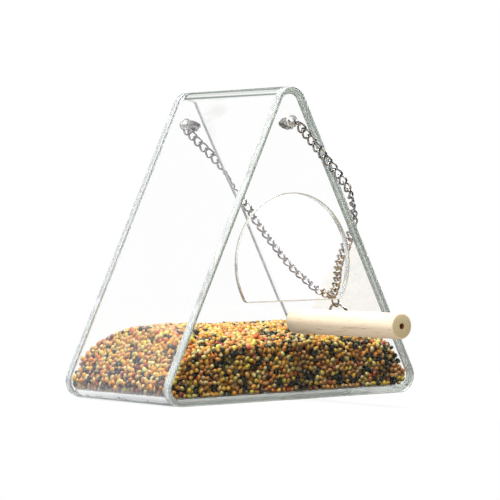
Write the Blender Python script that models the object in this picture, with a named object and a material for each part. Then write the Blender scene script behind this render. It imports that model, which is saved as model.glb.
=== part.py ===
# Triangular acrylic bird feeder with a wooden perch and a curb chain bail.
#
# Metres, +Z up. The origin is the centre of the underside. X runs across the base, Y along the
# prism, and the panel with the feeding opening faces -Y. The bail is laid over the +X side wall.

import math

import bmesh
import bpy
from mathutils import Matrix, Vector

MM = 0.001

# Housing: one sheet bent into a rounded triangle, closed by two end panels.
PRISM_HEIGHT = 130.0 * MM
WALL_LEAN = math.radians(26.25)
PRISM_DEPTH = 77.0 * MM
BEND_RADIUS = 7.2 * MM
WALL_THICKNESS = 3.0 * MM
PANEL_THICKNESS = 3.0 * MM
EDGE_BREAK = 0.3 * MM
SEAT_GAP = 0.3 * MM

# Feeding opening: a circle with a flat sill, which leaves a margin of the panel at both walls.
OPENING_MARGIN = 7.5 * MM
OPENING_CENTRE_HEIGHT = 56.6 * MM
SILL_DROP = 15.4 * MM
SILL_CORNER_RADIUS = 2.5 * MM

# Hook holes under the ridge, one in each end panel.
HOOK_HOLE_DIAMETER = 4.4 * MM
HOOK_HOLE_DROP = 14.6 * MM

# Perch: a turned dowel held by one countersunk screw from inside.
PERCH_DIAMETER = 10.3 * MM
PERCH_LENGTH = 69.0 * MM
PERCH_BELOW_SILL = 8.5 * MM
PERCH_CHAMFER = 0.7 * MM
PILOT_DIAMETER = 2.4 * MM
PILOT_DEPTH = 9.0 * MM
SCREW_DIAMETER = 3.0 * MM
SCREW_HEAD_DIAMETER = 5.6 * MM
SCREW_LENGTH = 20.0 * MM
SCREW_POINT = 2.4 * MM

# Seed heap: its height at the front and back panels, at the side walls and at the crest, and the
# spacing and depth of the hollows between its lumps.
SEED_PANEL_HEIGHT = 22.5 * MM
SEED_CREST_HEIGHT = 31.2 * MM
SEED_SIDE_FALL = 5.3 * MM
SEED_CORNER_FALL = 10.0 * MM
SEED_SIDE_POWER = 5.0
SEED_CORNER_POWER = 3.5
SEED_CREST_Y = -1.0 * MM
LUMP_SPACING = 8.1 * MM
LUMP_DEPTH = 1.5 * MM

# Curb chain: every link is a twisted oval of round wire. The links of one stretch are joined where
# they bear on each other, a slack gap parts them from the next stretch, and a hooked gap parts
# links, eyes and rings that hang in one another.
WIRE_DIAMETER = 0.9 * MM
LINK_PITCH = 3.9 * MM
LINK_HALF_WIDTH = 1.7 * MM
LINK_TWIST_RISE = 0.7 * MM
BEARING_OVERLAP = 0.14 * MM
SLACK = 0.5 * MM
HOOKED_GAP = 0.2 * MM
ARM_LINKS = 7
FRONT_BEND_LIFT = -0.2 * MM
BACK_BEND_LIFT = 2.1 * MM
CHAIN_DROP_SHARE = 0.447
LOW_POINT_Y = -1.0 * MM
TWIST_LEAD = 6.0 * MM
TWIST_LENGTH = 38.0 * MM

# Lobster clasps: eye outside the panel, neck through the hook hole, claw inside.
EYE_RADIUS = 1.35 * MM
EYE_WIRE_DIAMETER = 0.9 * MM
NECK_DIAMETER = 1.8 * MM
NECK_ROOT = 0.35 * MM
CLAW_LENGTH = 7.6 * MM
CLAW_WIDTH = 4.9 * MM
CLAW_THICKNESS = 2.6 * MM
CLAW_TAPER = 0.2
CLAW_NOSE = 0.85 * MM
CLAW_HOLE_LENGTH = 4.0 * MM
CLAW_HOLE_WIDTH = 3.2 * MM
GATE_SETBACK = 0.55 * MM
GATE_ROOT_GAP = 0.3 * MM
PIVOT_SETBACK = 1.9 * MM
HEEL_RADIUS = 1.15 * MM
TAB_RADIUS = 0.65 * MM
TAB_FORWARD = 0.4 * MM
TAB_RISE = 0.26 * MM
LEVER_HEEL_THICKNESS = 1.0 * MM
RIVET_DIAMETER = 0.8 * MM
RIVET_HEAD_DIAMETER = 1.4 * MM
RIVET_HEAD_HEIGHT = 0.25 * MM
RUNNING_GAP = 0.15 * MM

# Rings at the bail's low point.
CONNECTOR_HALF_LENGTH = 2.6 * MM
CONNECTOR_HALF_WIDTH = 1.6 * MM
CONNECTOR_WIRE = 0.8 * MM
RING_RADIUS = 7.0 * MM
RING_WIRE = 1.2 * MM

# Facet counts.
CORNER_STEPS = 8
OPENING_STEPS = 40
ROUND_STEPS = 24
SMALL_ROUND_STEPS = 16
SMALL_LOOP_STEPS = 20
RING_STEPS = 32
LINK_POINTS = 10
CLAW_STEPS = 30
CLAW_HOLE_STEPS = 18
GATE_STEPS = 6
HEEL_STEPS = 12
TAB_STEPS = 8

# The side walls would meet at this height if the ridge weren't rounded.
SHARP_APEX = PRISM_HEIGHT + BEND_RADIUS * (1.0 / math.sin(WALL_LEAN) - 1.0)
HALF_BASE = SHARP_APEX * math.tan(WALL_LEAN)
HALF_DEPTH = PRISM_DEPTH / 2
INNER_HALF_DEPTH = HALF_DEPTH - PANEL_THICKNESS
WALL_OUT = Vector((math.cos(WALL_LEAN), 0, math.sin(WALL_LEAN)))
WALL_DOWN = Vector((math.sin(WALL_LEAN), 0, -math.cos(WALL_LEAN)))
SHARP_RIDGE = Vector((0, 0, SHARP_APEX))
ALONG = Vector((0, 1, 0))
HOOK_CENTRE = Vector((0, 0, PRISM_HEIGHT - HOOK_HOLE_DROP))
SILL_HEIGHT = OPENING_CENTRE_HEIGHT - SILL_DROP
OPENING_RADIUS = (SHARP_APEX - OPENING_CENTRE_HEIGHT) * math.sin(WALL_LEAN) - OPENING_MARGIN

# How far the chain hangs down the wall below its bends, its middle's height over the wall, lying
# flat and standing on its edge, and the distance of the clasps' eyes and its arms from a panel.
CHAIN_DROP = CHAIN_DROP_SHARE * PRISM_HEIGHT
FLAT_LIFT = LINK_TWIST_RISE + WIRE_DIAMETER / 2 + SEAT_GAP
EDGE_LIFT = LINK_HALF_WIDTH + WIRE_DIAMETER / 2 + SEAT_GAP
EYE_OUTER = EYE_RADIUS + EYE_WIRE_DIAMETER / 2
EYE_STANDOFF = EYE_OUTER + SEAT_GAP
NECK_OFFSET = (HOOK_HOLE_DIAMETER - NECK_DIAMETER) / 2 - SEAT_GAP
ARM_Y = HALF_DEPTH + EYE_STANDOFF
LINK_HALF_LENGTH = (LINK_PITCH + WIRE_DIAMETER - BEARING_OVERLAP) / 2
LINK_HOOK_OFFSET = EYE_RADIUS - EYE_WIRE_DIAMETER / 2 - WIRE_DIAMETER / 2 - HOOKED_GAP
END_LINK_PLACE = NECK_OFFSET + LINK_HOOK_OFFSET + LINK_HALF_LENGTH
ARM_LENGTH = END_LINK_PLACE + (ARM_LINKS + 0.5) * LINK_PITCH - SLACK * 1.5
CLAW_START = EYE_STANDOFF + PANEL_THICKNESS + SEAT_GAP

ACRYLIC = ("clear_acrylic", (0.92, 0.97, 0.95, 1.0), 0.05, 0.0)
WOOD = ("perch_wood", (0.87, 0.76, 0.60, 1.0), 0.55, 0.0)
SEED = ("seed_mix", (0.72, 0.50, 0.24, 1.0), 0.65, 0.0)
STEEL = ("chain_steel", (0.62, 0.61, 0.59, 1.0), 0.25, 1.0)
ZINC = ("screw_zinc", (0.70, 0.70, 0.68, 1.0), 0.35, 1.0)


def clear_scene():
    for item in list(bpy.data.objects):
        bpy.data.objects.remove(item, do_unlink=True)


def material(recipe):
    name, colour, roughness, metallic = recipe
    found = bpy.data.materials.get(name)
    if found:
        return found
    made = bpy.data.materials.new(name)
    made.use_nodes = True
    shader = made.node_tree.nodes["Principled BSDF"]
    shader.inputs["Base Color"].default_value = colour
    shader.inputs["Roughness"].default_value = roughness
    shader.inputs["Metallic"].default_value = metallic
    return made


def add_object(name, data, recipe=None):
    item = bpy.data.objects.new(name, data)
    bpy.context.scene.collection.objects.link(item)
    if recipe:
        data.materials.append(material(recipe))
    return item


def finish_mesh(name, shape, recipe, smooth=False):
    bmesh.ops.remove_doubles(shape, verts=shape.verts, dist=1e-7)
    bmesh.ops.recalc_face_normals(shape, faces=shape.faces)
    mesh = bpy.data.meshes.new(name)
    shape.to_mesh(mesh)
    shape.free()
    if smooth:
        mesh.shade_smooth()
        mesh.set_sharp_from_angle(angle=math.radians(40))
    return add_object(name, mesh, recipe)


def extruded(name, outline, low, high, recipe=None):
    # A closed outline of 3-D points at parameter low, swept straight to parameter high.
    shape = bmesh.new()
    near = [shape.verts.new(outline(point, low)) for point in outline.points]
    base = shape.faces.new(near)
    swept = bmesh.ops.extrude_face_region(shape, geom=[base])
    moved = [item for item in swept["geom"] if isinstance(item, bmesh.types.BMVert)]
    shift = outline(outline.points[0], high) - outline(outline.points[0], low)
    bmesh.ops.translate(shape, vec=shift, verts=moved)
    return finish_mesh(name, shape, recipe)


class Outline:
    # Flat points and the plane they are drawn in: origin, the two plane axes and the sweep axis.
    def __init__(self, points, origin, across, up, sweep):
        self.points = points
        self.origin = origin
        self.across = across
        self.up = up
        self.sweep = sweep

    def __call__(self, point, along):
        return self.origin + self.across * point[0] + self.up * point[1] + self.sweep * along


def section(points):
    # An outline in the prism's cross-section, swept along the prism.
    return Outline(points, Vector(), Vector((1, 0, 0)), Vector((0, 0, 1)), ALONG)


def arc(centre, radius, start, end, steps):
    angles = [start + (end - start) * step / steps for step in range(steps + 1)]
    return [(centre[0] + radius * math.cos(angle), centre[1] + radius * math.sin(angle))
            for angle in angles]


def rounded_triangle(inset):
    # The prism's section, moved inwards by inset; the corner centres stay where they are.
    radius = BEND_RADIUS - inset
    floor_corner = HALF_BASE - BEND_RADIUS / math.tan((math.pi / 2 - WALL_LEAN) / 2)
    apex = (0.0, SHARP_APEX - BEND_RADIUS / math.sin(WALL_LEAN))
    right = arc((floor_corner, BEND_RADIUS), radius, -math.pi / 2, WALL_LEAN, CORNER_STEPS)
    top = arc(apex, radius, WALL_LEAN, math.pi - WALL_LEAN, CORNER_STEPS)
    left = arc((-floor_corner, BEND_RADIUS), radius, math.pi - WALL_LEAN, math.pi * 1.5, CORNER_STEPS)
    return right + top + left


def opening_outline():
    # Circle cut off by the sill, with a small radius where the two meet.
    fall = SILL_DROP - SILL_CORNER_RADIUS
    reach = math.sqrt((OPENING_RADIUS - SILL_CORNER_RADIUS) ** 2 - fall ** 2)
    turn = -math.atan2(fall, reach)
    centre = (0.0, OPENING_CENTRE_HEIGHT)
    low = OPENING_CENTRE_HEIGHT - fall
    round_part = arc(centre, OPENING_RADIUS, turn, math.pi - turn, OPENING_STEPS)
    left = arc((-reach, low), SILL_CORNER_RADIUS, math.pi - turn, math.pi * 1.5, 4)
    right = arc((reach, low), SILL_CORNER_RADIUS, -math.pi / 2, turn, 4)
    return round_part + left[1:] + right[:-1]


def turned(name, profile, origin, axis, recipe=None, steps=ROUND_STEPS, smooth=True):
    # Revolves (radius, distance along the axis) points; both ends of the profile lie on the axis.
    shape = bmesh.new()
    points = [shape.verts.new((radius, 0, along)) for radius, along in profile]
    edges = [shape.edges.new(pair) for pair in zip(points, points[1:])]
    bmesh.ops.spin(shape, geom=points + edges, axis=(0, 0, 1), cent=(0, 0, 0),
                   angle=math.tau, steps=steps)
    bmesh.ops.remove_doubles(shape, verts=shape.verts, dist=1e-7)
    bmesh.ops.rotate(shape, verts=shape.verts, cent=(0, 0, 0),
                     matrix=Vector((0, 0, 1)).rotation_difference(axis).to_matrix())
    bmesh.ops.translate(shape, verts=shape.verts, vec=origin)
    return finish_mesh(name, shape, recipe, smooth)


def combine(item, other, operation):
    # The second object is a guide for the Boolean and isn't part of the model.
    step = item.modifiers.new(other.name, "BOOLEAN")
    step.operation = operation
    step.solver = "EXACT"
    step.object = other
    other.hide_render = True
    other.display_type = "WIRE"


def break_edges(item):
    bevel = item.modifiers.new("edge_break", "BEVEL")
    bevel.width = EDGE_BREAK
    bevel.segments = 1
    bevel.limit_method = "ANGLE"
    bevel.angle_limit = math.radians(60)


def make_wrap():
    end = INNER_HALF_DEPTH - SEAT_GAP
    wrap = extruded("body_wrap", section(rounded_triangle(0.0)), -end, end, ACRYLIC)
    past = end + WALL_THICKNESS
    hollow = extruded("wrap_hollow", section(rounded_triangle(WALL_THICKNESS)), -past, past)
    combine(wrap, hollow, "DIFFERENCE")


def make_panel(name, side):
    # side is -1 for the front panel and 1 for the back one.
    low, high = sorted((side * HALF_DEPTH, side * INNER_HALF_DEPTH))
    panel = extruded(name, section(rounded_triangle(0.0)), low, high, ACRYLIC)
    break_edges(panel)
    radius = HOOK_HOLE_DIAMETER / 2
    start = HOOK_CENTRE + ALONG * (low - PANEL_THICKNESS)
    reach = 3 * PANEL_THICKNESS
    profile = [(0, 0), (radius, 0), (radius, reach), (0, reach)]
    combine(panel, turned(name + "_hook_hole", profile, start, ALONG), "DIFFERENCE")
    return panel


def make_front_panel():
    panel = make_panel("front_panel", -1)
    past = PANEL_THICKNESS
    opening = extruded("feeding_opening", section(opening_outline()), -HALF_DEPTH - past,
                       -INNER_HALF_DEPTH + past)
    combine(panel, opening, "DIFFERENCE")
    countersink = turned("screw_countersink", screw_profile(SEAT_GAP, past), perch_origin(), -ALONG)
    combine(panel, countersink, "DIFFERENCE")


def perch_height():
    return SILL_HEIGHT - PERCH_BELOW_SILL


def perch_origin():
    # On the front panel's inner face, on the perch's axis.
    return Vector((0, -INNER_HALF_DEPTH, perch_height()))


def screw_profile(clearance, overshoot=0.0):
    # A countersunk head flush with the inner face, then the shank, moved outwards by clearance.
    head = SCREW_HEAD_DIAMETER / 2 + clearance
    shank = SCREW_DIAMETER / 2 + clearance
    cone = (SCREW_HEAD_DIAMETER - SCREW_DIAMETER) / 2
    top = -overshoot
    tip = SCREW_LENGTH + clearance
    return [(0, top), (head, top), (head, clearance), (shank, cone + clearance),
            (shank, tip - SCREW_POINT), (0, tip)]


def make_perch():
    # Drawn from the panel's outer face outwards, with the screw's bore and the lathe's centre hole.
    outer_face = Vector((0, -HALF_DEPTH - SEAT_GAP, perch_height()))
    radius = PERCH_DIAMETER / 2
    bore = SCREW_DIAMETER / 2 + SEAT_GAP
    bore_end = SCREW_LENGTH - PANEL_THICKNESS + SEAT_GAP
    pilot = PILOT_DIAMETER / 2
    end = PERCH_LENGTH
    profile = [(0, bore_end), (bore, bore_end - bore), (bore, 0), (radius - PERCH_CHAMFER, 0),
               (radius, PERCH_CHAMFER), (radius, end - PERCH_CHAMFER), (radius - PERCH_CHAMFER, end),
               (pilot, end), (pilot, end - PILOT_DEPTH), (0, end - PILOT_DEPTH - pilot)]
    turned("perch_dowel", profile, outer_face, -ALONG, WOOD)
    turned("perch_screw", screw_profile(0.0), perch_origin(), -ALONG, ZINC)


def seed_height(x, y):
    # A heap: highest along a crest near the middle, lower at the panels and lowest in the corners.
    span = INNER_HALF_DEPTH + abs(SEED_CREST_Y)
    across = abs(x) / HALF_BASE
    away = (y - SEED_CREST_Y) / span
    crest = SEED_CREST_HEIGHT - SEED_SIDE_FALL * across ** SEED_SIDE_POWER
    edge = SEED_PANEL_HEIGHT - SEED_CORNER_FALL * across ** SEED_CORNER_POWER
    return edge + (crest - edge) * (1 - away ** 2)


def trough_half_width(z):
    # Half the width that the heap may have at a height, inside the bent sheet's floor corners.
    inset = WALL_THICKNESS + SEAT_GAP
    slope = (SHARP_APEX - z) * math.tan(WALL_LEAN) - inset / math.cos(WALL_LEAN)
    radius = BEND_RADIUS - inset
    corner = HALF_BASE - BEND_RADIUS / math.tan((math.pi / 2 - WALL_LEAN) / 2)
    rise = BEND_RADIUS - z
    if rise < -radius * math.sin(WALL_LEAN):
        return slope
    return corner + math.sqrt(max(radius ** 2 - rise ** 2, 0.0))


def heap_place(column, row, level, counts):
    # A point of the heap from its three grid numbers: across, along and up. Every other point of
    # the top and the sides is a hollow, sunk into the heap; those of the floor stay flat.
    columns, rows, levels = counts
    floor = WALL_THICKNESS + SEAT_GAP
    half_depth = INNER_HALF_DEPTH - SEAT_GAP
    across = 2 * column / columns - 1
    y = half_depth * (2 * row / rows - 1)
    x = across * trough_half_width(SEED_PANEL_HEIGHT)
    z = floor + (seed_height(x, y) - floor) * level / levels
    half_width = trough_half_width(z)
    if (column + row + level) % 2 == 0 or level == 0:
        return Vector((across * half_width, y, z))
    inward_x = LUMP_DEPTH * ((column == 0) - (column == columns))
    inward_y = LUMP_DEPTH * ((row == 0) - (row == rows))
    return Vector((across * half_width + inward_x, y + inward_y, z - LUMP_DEPTH * (level == levels)))


def make_seed():
    # The heap fills the trough between the bent walls and the panels. Its floor is one face, and
    # the rest are triangles that meet at the lumps' peaks.
    sizes = (2 * trough_half_width(SEED_PANEL_HEIGHT), 2 * INNER_HALF_DEPTH, SEED_PANEL_HEIGHT)
    counts = [2 * round(size / LUMP_SPACING) for size in sizes]
    columns, rows, levels = counts
    shape = bmesh.new()
    found = {}

    def vertex(place):
        if place not in found:
            found[place] = shape.verts.new(heap_place(*place, counts))
        return found[place]

    def patch(first_count, second_count, place):
        for first in range(first_count):
            for second in range(second_count):
                corners = [place(first, second), place(first + 1, second),
                           place(first + 1, second + 1), place(first, second + 1)]
                if sum(corners[0]) % 2:
                    corners = corners[1:] + corners[:1]
                a, b, c, d = [vertex(corner) for corner in corners]
                shape.faces.new((a, b, c))
                shape.faces.new((a, c, d))

    patch(columns, rows, lambda column, row: (column, row, levels))
    for row in (0, rows):
        patch(columns, levels, lambda column, level, row=row: (column, row, level))
    for column in (0, columns):
        patch(rows, levels, lambda row, level, column=column: (column, row, level))
    rim = [(column, 0, 0) for column in range(columns)] + [(columns, row, 0) for row in range(rows)]
    rim += [(columns - column, rows, 0) for column in range(columns)]
    rim += [(0, rows - row, 0) for row in range(rows)]
    shape.faces.new([found[place] for place in rim])
    finish_mesh("seed_fill", shape, SEED)


def wire_loop(curve, points):
    spline = curve.splines.new("POLY")
    spline.points.add(len(points) - 1)
    for target, point in zip(spline.points, points):
        target.co = (*point, 1.0)
    spline.use_cyclic_u = True


def wire_object(name, loops, diameter, resolution, recipe=STEEL):
    # Closed loops of round wire; every loop is its own solid.
    curve = bpy.data.curves.new(name, "CURVE")
    curve.dimensions = "3D"
    curve.bevel_depth = diameter / 2
    curve.bevel_resolution = resolution
    for points in loops:
        wire_loop(curve, points)
    return add_object(name, curve, recipe)


def link_loop(frame, pitch=LINK_PITCH):
    # An oval twisted so that equal links lie flat and interlock: (a cos t, b sin t, c sin 2t).
    half_length = LINK_HALF_LENGTH + (pitch - LINK_PITCH) / 2
    points = []
    for step in range(LINK_POINTS):
        turn = math.tau * step / LINK_POINTS
        local = Vector((half_length * math.cos(turn), LINK_HALF_WIDTH * math.sin(turn),
                        LINK_TWIST_RISE * math.sin(2 * turn)))
        points.append(frame @ local)
    return points


def frame_at(centre, forward, normal):
    # Right-handed frame: X along the chain, Z as near to the normal as it can be.
    x = forward.normalized()
    z = (normal - x * normal.dot(x)).normalized()
    y = z.cross(x)
    return Matrix(((x.x, y.x, z.x, centre.x), (x.y, y.y, z.y, centre.y),
                   (x.z, y.z, z.z, centre.z), (0, 0, 0, 1)))


def wall_point(down, out, y):
    # down and out are measured from the sharp apex, along the +X wall and square to it.
    return SHARP_RIDGE + ALONG * y + WALL_DOWN * down + WALL_OUT * out


def arm_direction(side):
    # From a hook hole to its bend, which is beside the panel, at its height over the wall's plane.
    hole_lift = (HOOK_CENTRE - SHARP_RIDGE).dot(WALL_OUT)
    bend_lift = FRONT_BEND_LIFT if side < 0 else BACK_BEND_LIFT
    turn = math.acos((bend_lift - hole_lift) / ARM_LENGTH)
    return WALL_OUT * math.cos(turn) + WALL_DOWN * math.sin(turn)


def bend_point(side):
    return HOOK_CENTRE + arm_direction(side) * ARM_LENGTH + ALONG * side * ARM_Y


def bail_route():
    # From the front bend round the panel's edge, down over the +X wall to the low point and up to
    # the back bend. Each row is the share of the drop, the share of the arms' Y and the height.
    flat = FLAT_LIFT
    edge = EDGE_LIFT
    low = CONNECTOR_HALF_WIDTH + CONNECTOR_WIRE / 2 + SEAT_GAP
    rows = [(0.08, -1.005, edge * 0.35), (0.14, -1.00, edge * 0.60), (0.20, -0.965, edge * 0.90),
            (0.27, -0.925, edge), (0.37, -0.865, edge), (0.55, -0.64, edge * 0.8),
            (0.74, -0.37, flat), (0.86, -0.232, low), (0.95, -0.11, low),
            (1.00, LOW_POINT_Y / ARM_Y, low),
            (0.97, 0.14, low), (0.93, 0.255, low), (0.87, 0.335, low), (0.76, 0.46, flat),
            (0.62, 0.58, flat), (0.47, 0.715, edge * 0.8), (0.32, 0.835, edge), (0.22, 0.905, edge),
            (0.15, 0.97, edge), (0.08, 1.01, edge)]
    start = (bend_point(-1) - SHARP_RIDGE).dot(WALL_DOWN)
    points = [wall_point(start + CHAIN_DROP * drop, lift, ARM_Y * share) for drop, share, lift in rows]
    return [bend_point(-1)] + points + [bend_point(1)]


def smooth_curve(points, steps=24):
    # Catmull-Rom curve through the points, led straight in and out.
    ends = [points[0] * 2 - points[1]] + points + [points[-1] * 2 - points[-2]]
    curve = []
    for before, start, end, after in zip(ends, ends[1:], ends[2:], ends[3:]):
        for step in range(steps):
            t = step / steps
            curve.append(0.5 * (2 * start + (end - before) * t
                                + (2 * before - 5 * start + 4 * end - after) * t * t
                                + (3 * start - before - 3 * end + after) * t ** 3))
    curve.append(points[-1])
    return curve


def lengths_along(curve):
    total = [0.0]
    for start, end in zip(curve, curve[1:]):
        total.append(total[-1] + (end - start).length)
    return total


def point_at(curve, total, distance):
    for index in range(1, len(curve)):
        if total[index] >= distance or index == len(curve) - 1:
            share = (distance - total[index - 1]) / (total[index] - total[index - 1])
            return curve[index - 1].lerp(curve[index], share)


def chain_normal(side, along):
    # The chain lies flat on the panel's side of a bend and turns to lie flat on the wall. The
    # distance along it is measured from the bend, and is negative on the arm.
    share = min(max((along + TWIST_LEAD) / TWIST_LENGTH, 0.0), 1.0)
    turn = share * share * (3 - 2 * share) * math.pi / 2
    return ALONG * side * math.cos(turn) + WALL_OUT * math.sin(turn)


def arm_links(side):
    # The clasp's end link, then the arm's links up to the bend.
    direction = arm_direction(side)
    places = [END_LINK_PLACE]
    places += [END_LINK_PLACE + LINK_PITCH * (index + 1) - SLACK for index in range(ARM_LINKS)]
    frames = []
    for place in places:
        centre = HOOK_CENTRE + direction * place + ALONG * side * ARM_Y
        frames.append(frame_at(centre, direction, chain_normal(side, place - ARM_LENGTH)))
    return frames


def leg_links(curve, side, end):
    # From a bend to the low link, whose centre is at end. Slack parts the leg from both
    # neighbours, and the pitch is eased so that a whole number of links fits.
    total = lengths_along(curve)
    first = (LINK_PITCH - SLACK) / 2
    span = end - first + SLACK
    count = round(span / LINK_PITCH)
    pitch = span / count
    loops = []
    for index in range(count):
        place = first + index * pitch
        near = point_at(curve, total, place - pitch / 2)
        far = point_at(curve, total, place + pitch / 2)
        frame = frame_at((near + far) / 2, far - near, chain_normal(side, place))
        loops.append(link_loop(frame, pitch))
    return loops


def chain_stretch(name, loops):
    # Every other link is added to its neighbours, so that all are joined where they bear.
    stretch = as_mesh(wire_object(name, loops[0::2], WIRE_DIAMETER, 1))
    combine(stretch, as_mesh(wire_object(name + "_even", loops[1::2], WIRE_DIAMETER, 1)), "UNION")
    return stretch


def as_mesh(item):
    # A Boolean reads meshes only, so wire that takes part in one is turned into a mesh.
    evaluated = item.evaluated_get(bpy.context.evaluated_depsgraph_get())
    mesh = bpy.data.meshes.new_from_object(evaluated)
    name = item.name
    bpy.data.objects.remove(item, do_unlink=True)
    return add_object(name, mesh)


def oval_loop(centre, first, second, count):
    # first and second are the oval's half axes.
    turns = [math.tau * (step + 0.5) / count for step in range(count)]
    return [centre + first * math.cos(turn) + second * math.sin(turn) for turn in turns]


def make_rings(low_frame):
    # The connector holds the low link's lower strand at its top and the ring at its bottom.
    strand = low_frame.translation + WALL_DOWN * LINK_HALF_WIDTH
    inside = CONNECTOR_HALF_LENGTH - CONNECTOR_WIRE / 2 - HOOKED_GAP
    hub = strand + WALL_DOWN * (inside - WIRE_DIAMETER / 2)
    small_loop = oval_loop(hub, WALL_DOWN * CONNECTOR_HALF_LENGTH, WALL_OUT * CONNECTOR_HALF_WIDTH,
                           SMALL_LOOP_STEPS)
    connector = wire_object("connector_link", [small_loop], CONNECTOR_WIRE, 2)
    top = hub + WALL_DOWN * (inside - RING_WIRE / 2)
    lift = (top - SHARP_RIDGE).dot(WALL_OUT)
    lean = math.asin((lift - RING_WIRE / 2 - SEAT_GAP) / (2 * RING_RADIUS))
    slope = WALL_DOWN * math.cos(lean) - WALL_OUT * math.sin(lean)
    loop = oval_loop(top + slope * RING_RADIUS, ALONG * RING_RADIUS, slope * RING_RADIUS, RING_STEPS)
    ring = wire_object("hanging_ring", [loop], RING_WIRE, 2)
    set_origin(ring, top)
    return connector, ring


def drop_point(length, width, centre, turn):
    # A drop in its own plane: an ellipse that is narrower towards +X, where turn is 0.
    share = math.cos(turn)
    return (centre + length / 2 * share, width / 2 * math.sin(turn) * (1 - CLAW_TAPER * share))


def drop_arc(length, width, centre, start, end, steps):
    turns = [start + (end - start) * step / steps for step in range(steps + 1)]
    return [drop_point(length, width, centre, turn) for turn in turns]


def drop_turn(length, centre, at):
    # The turn, on the +Y side, at which the drop's edge has this X.
    return math.acos((at - centre) / (length / 2))


CLAW = (CLAW_LENGTH, CLAW_WIDTH, CLAW_START + CLAW_LENGTH / 2)
HOLE_END = CLAW_START + CLAW_LENGTH - CLAW_NOSE
CLAW_HOLE = (CLAW_HOLE_LENGTH, CLAW_HOLE_WIDTH, HOLE_END - CLAW_HOLE_LENGTH / 2)
PIVOT_LENGTH = CLAW_START + PIVOT_SETBACK
PIVOT_WIDTH = drop_point(*CLAW, drop_turn(CLAW_LENGTH, CLAW[2], PIVOT_LENGTH))[1] - HEEL_RADIUS
GATE_START = PIVOT_LENGTH + HEEL_RADIUS
GATE_END = HOLE_END - GATE_SETBACK


class ClaspPlane:
    # A clasp's own axes: length into the feeder, width along the bail's arm, and thickness.
    def __init__(self, side):
        self.length = -ALONG * side
        self.width = arm_direction(side)
        self.depth = self.length.cross(self.width)
        self.origin = HOOK_CENTRE + ALONG * side * ARM_Y + self.width * NECK_OFFSET

    def sheet(self, points):
        return Outline(points, self.origin, self.length, self.width, self.depth)

    def at(self, length, width):
        return self.origin + self.length * length + self.width * width


def claw_outline():
    # A hook: the drop's rim from the gate's start round the back and the nose to the gate's end.
    outer_start = drop_turn(CLAW_LENGTH, CLAW[2], GATE_START)
    outer_end = math.tau + drop_turn(CLAW_LENGTH, CLAW[2], GATE_END)
    inner_start = drop_turn(CLAW_HOLE_LENGTH, CLAW_HOLE[2], GATE_START)
    inner_end = math.tau + drop_turn(CLAW_HOLE_LENGTH, CLAW_HOLE[2], GATE_END)
    return (drop_arc(*CLAW, outer_start, outer_end, CLAW_STEPS)
            + drop_arc(*CLAW_HOLE, inner_end, inner_start, CLAW_HOLE_STEPS))


def gate_outline():
    # The rim's missing stretch, which the lever's arm fills, less the running gaps at its ends.
    start = GATE_START + GATE_ROOT_GAP
    end = GATE_END - RUNNING_GAP
    outer_start = drop_turn(CLAW_LENGTH, CLAW[2], start)
    outer_end = drop_turn(CLAW_LENGTH, CLAW[2], end)
    inner_start = drop_turn(CLAW_HOLE_LENGTH, CLAW_HOLE[2], start)
    inner_end = drop_turn(CLAW_HOLE_LENGTH, CLAW_HOLE[2], end)
    return (drop_arc(*CLAW, outer_start, outer_end, GATE_STEPS)
            + drop_arc(*CLAW_HOLE, inner_end, inner_start, GATE_STEPS))


def heel_outline():
    # The lever's thin plate: round the pivot, over the thumb tab and into the gate's arm.
    pivot = (PIVOT_LENGTH, PIVOT_WIDTH)
    round_pivot = arc(pivot, HEEL_RADIUS, math.radians(-25), math.radians(-250), HEEL_STEPS)
    tab_centre = (PIVOT_LENGTH + TAB_FORWARD, PIVOT_WIDTH + HEEL_RADIUS + TAB_RISE)
    tab = arc(tab_centre, TAB_RADIUS, math.radians(170), math.radians(-20), TAB_STEPS)
    reach = GATE_START + GATE_ROOT_GAP + RUNNING_GAP * 2
    turn = drop_turn(CLAW_HOLE_LENGTH, CLAW_HOLE[2], reach)
    inner = drop_point(*CLAW_HOLE, turn)[1] + RUNNING_GAP
    outer = drop_point(*CLAW, drop_turn(CLAW_LENGTH, CLAW[2], reach))[1] - RUNNING_GAP
    return round_pivot + tab + [(reach, outer), (reach, inner)]


def heel_slot():
    # Room for the lever's heel between the cheeks, open towards the gate.
    radius = HEEL_RADIUS + SEAT_GAP
    back = arc((PIVOT_LENGTH, PIVOT_WIDTH), radius, math.pi, math.pi * 1.5, GATE_STEPS)
    front = GATE_START + SEAT_GAP
    return back + [(front, PIVOT_WIDTH - radius), (front, CLAW_WIDTH), (PIVOT_LENGTH - radius, CLAW_WIDTH)]


def rod(name, centre, axis, radius, reach):
    profile = [(0, -reach), (radius, -reach), (radius, reach), (0, reach)]
    return turned(name, profile, centre, axis, steps=SMALL_ROUND_STEPS)


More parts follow.
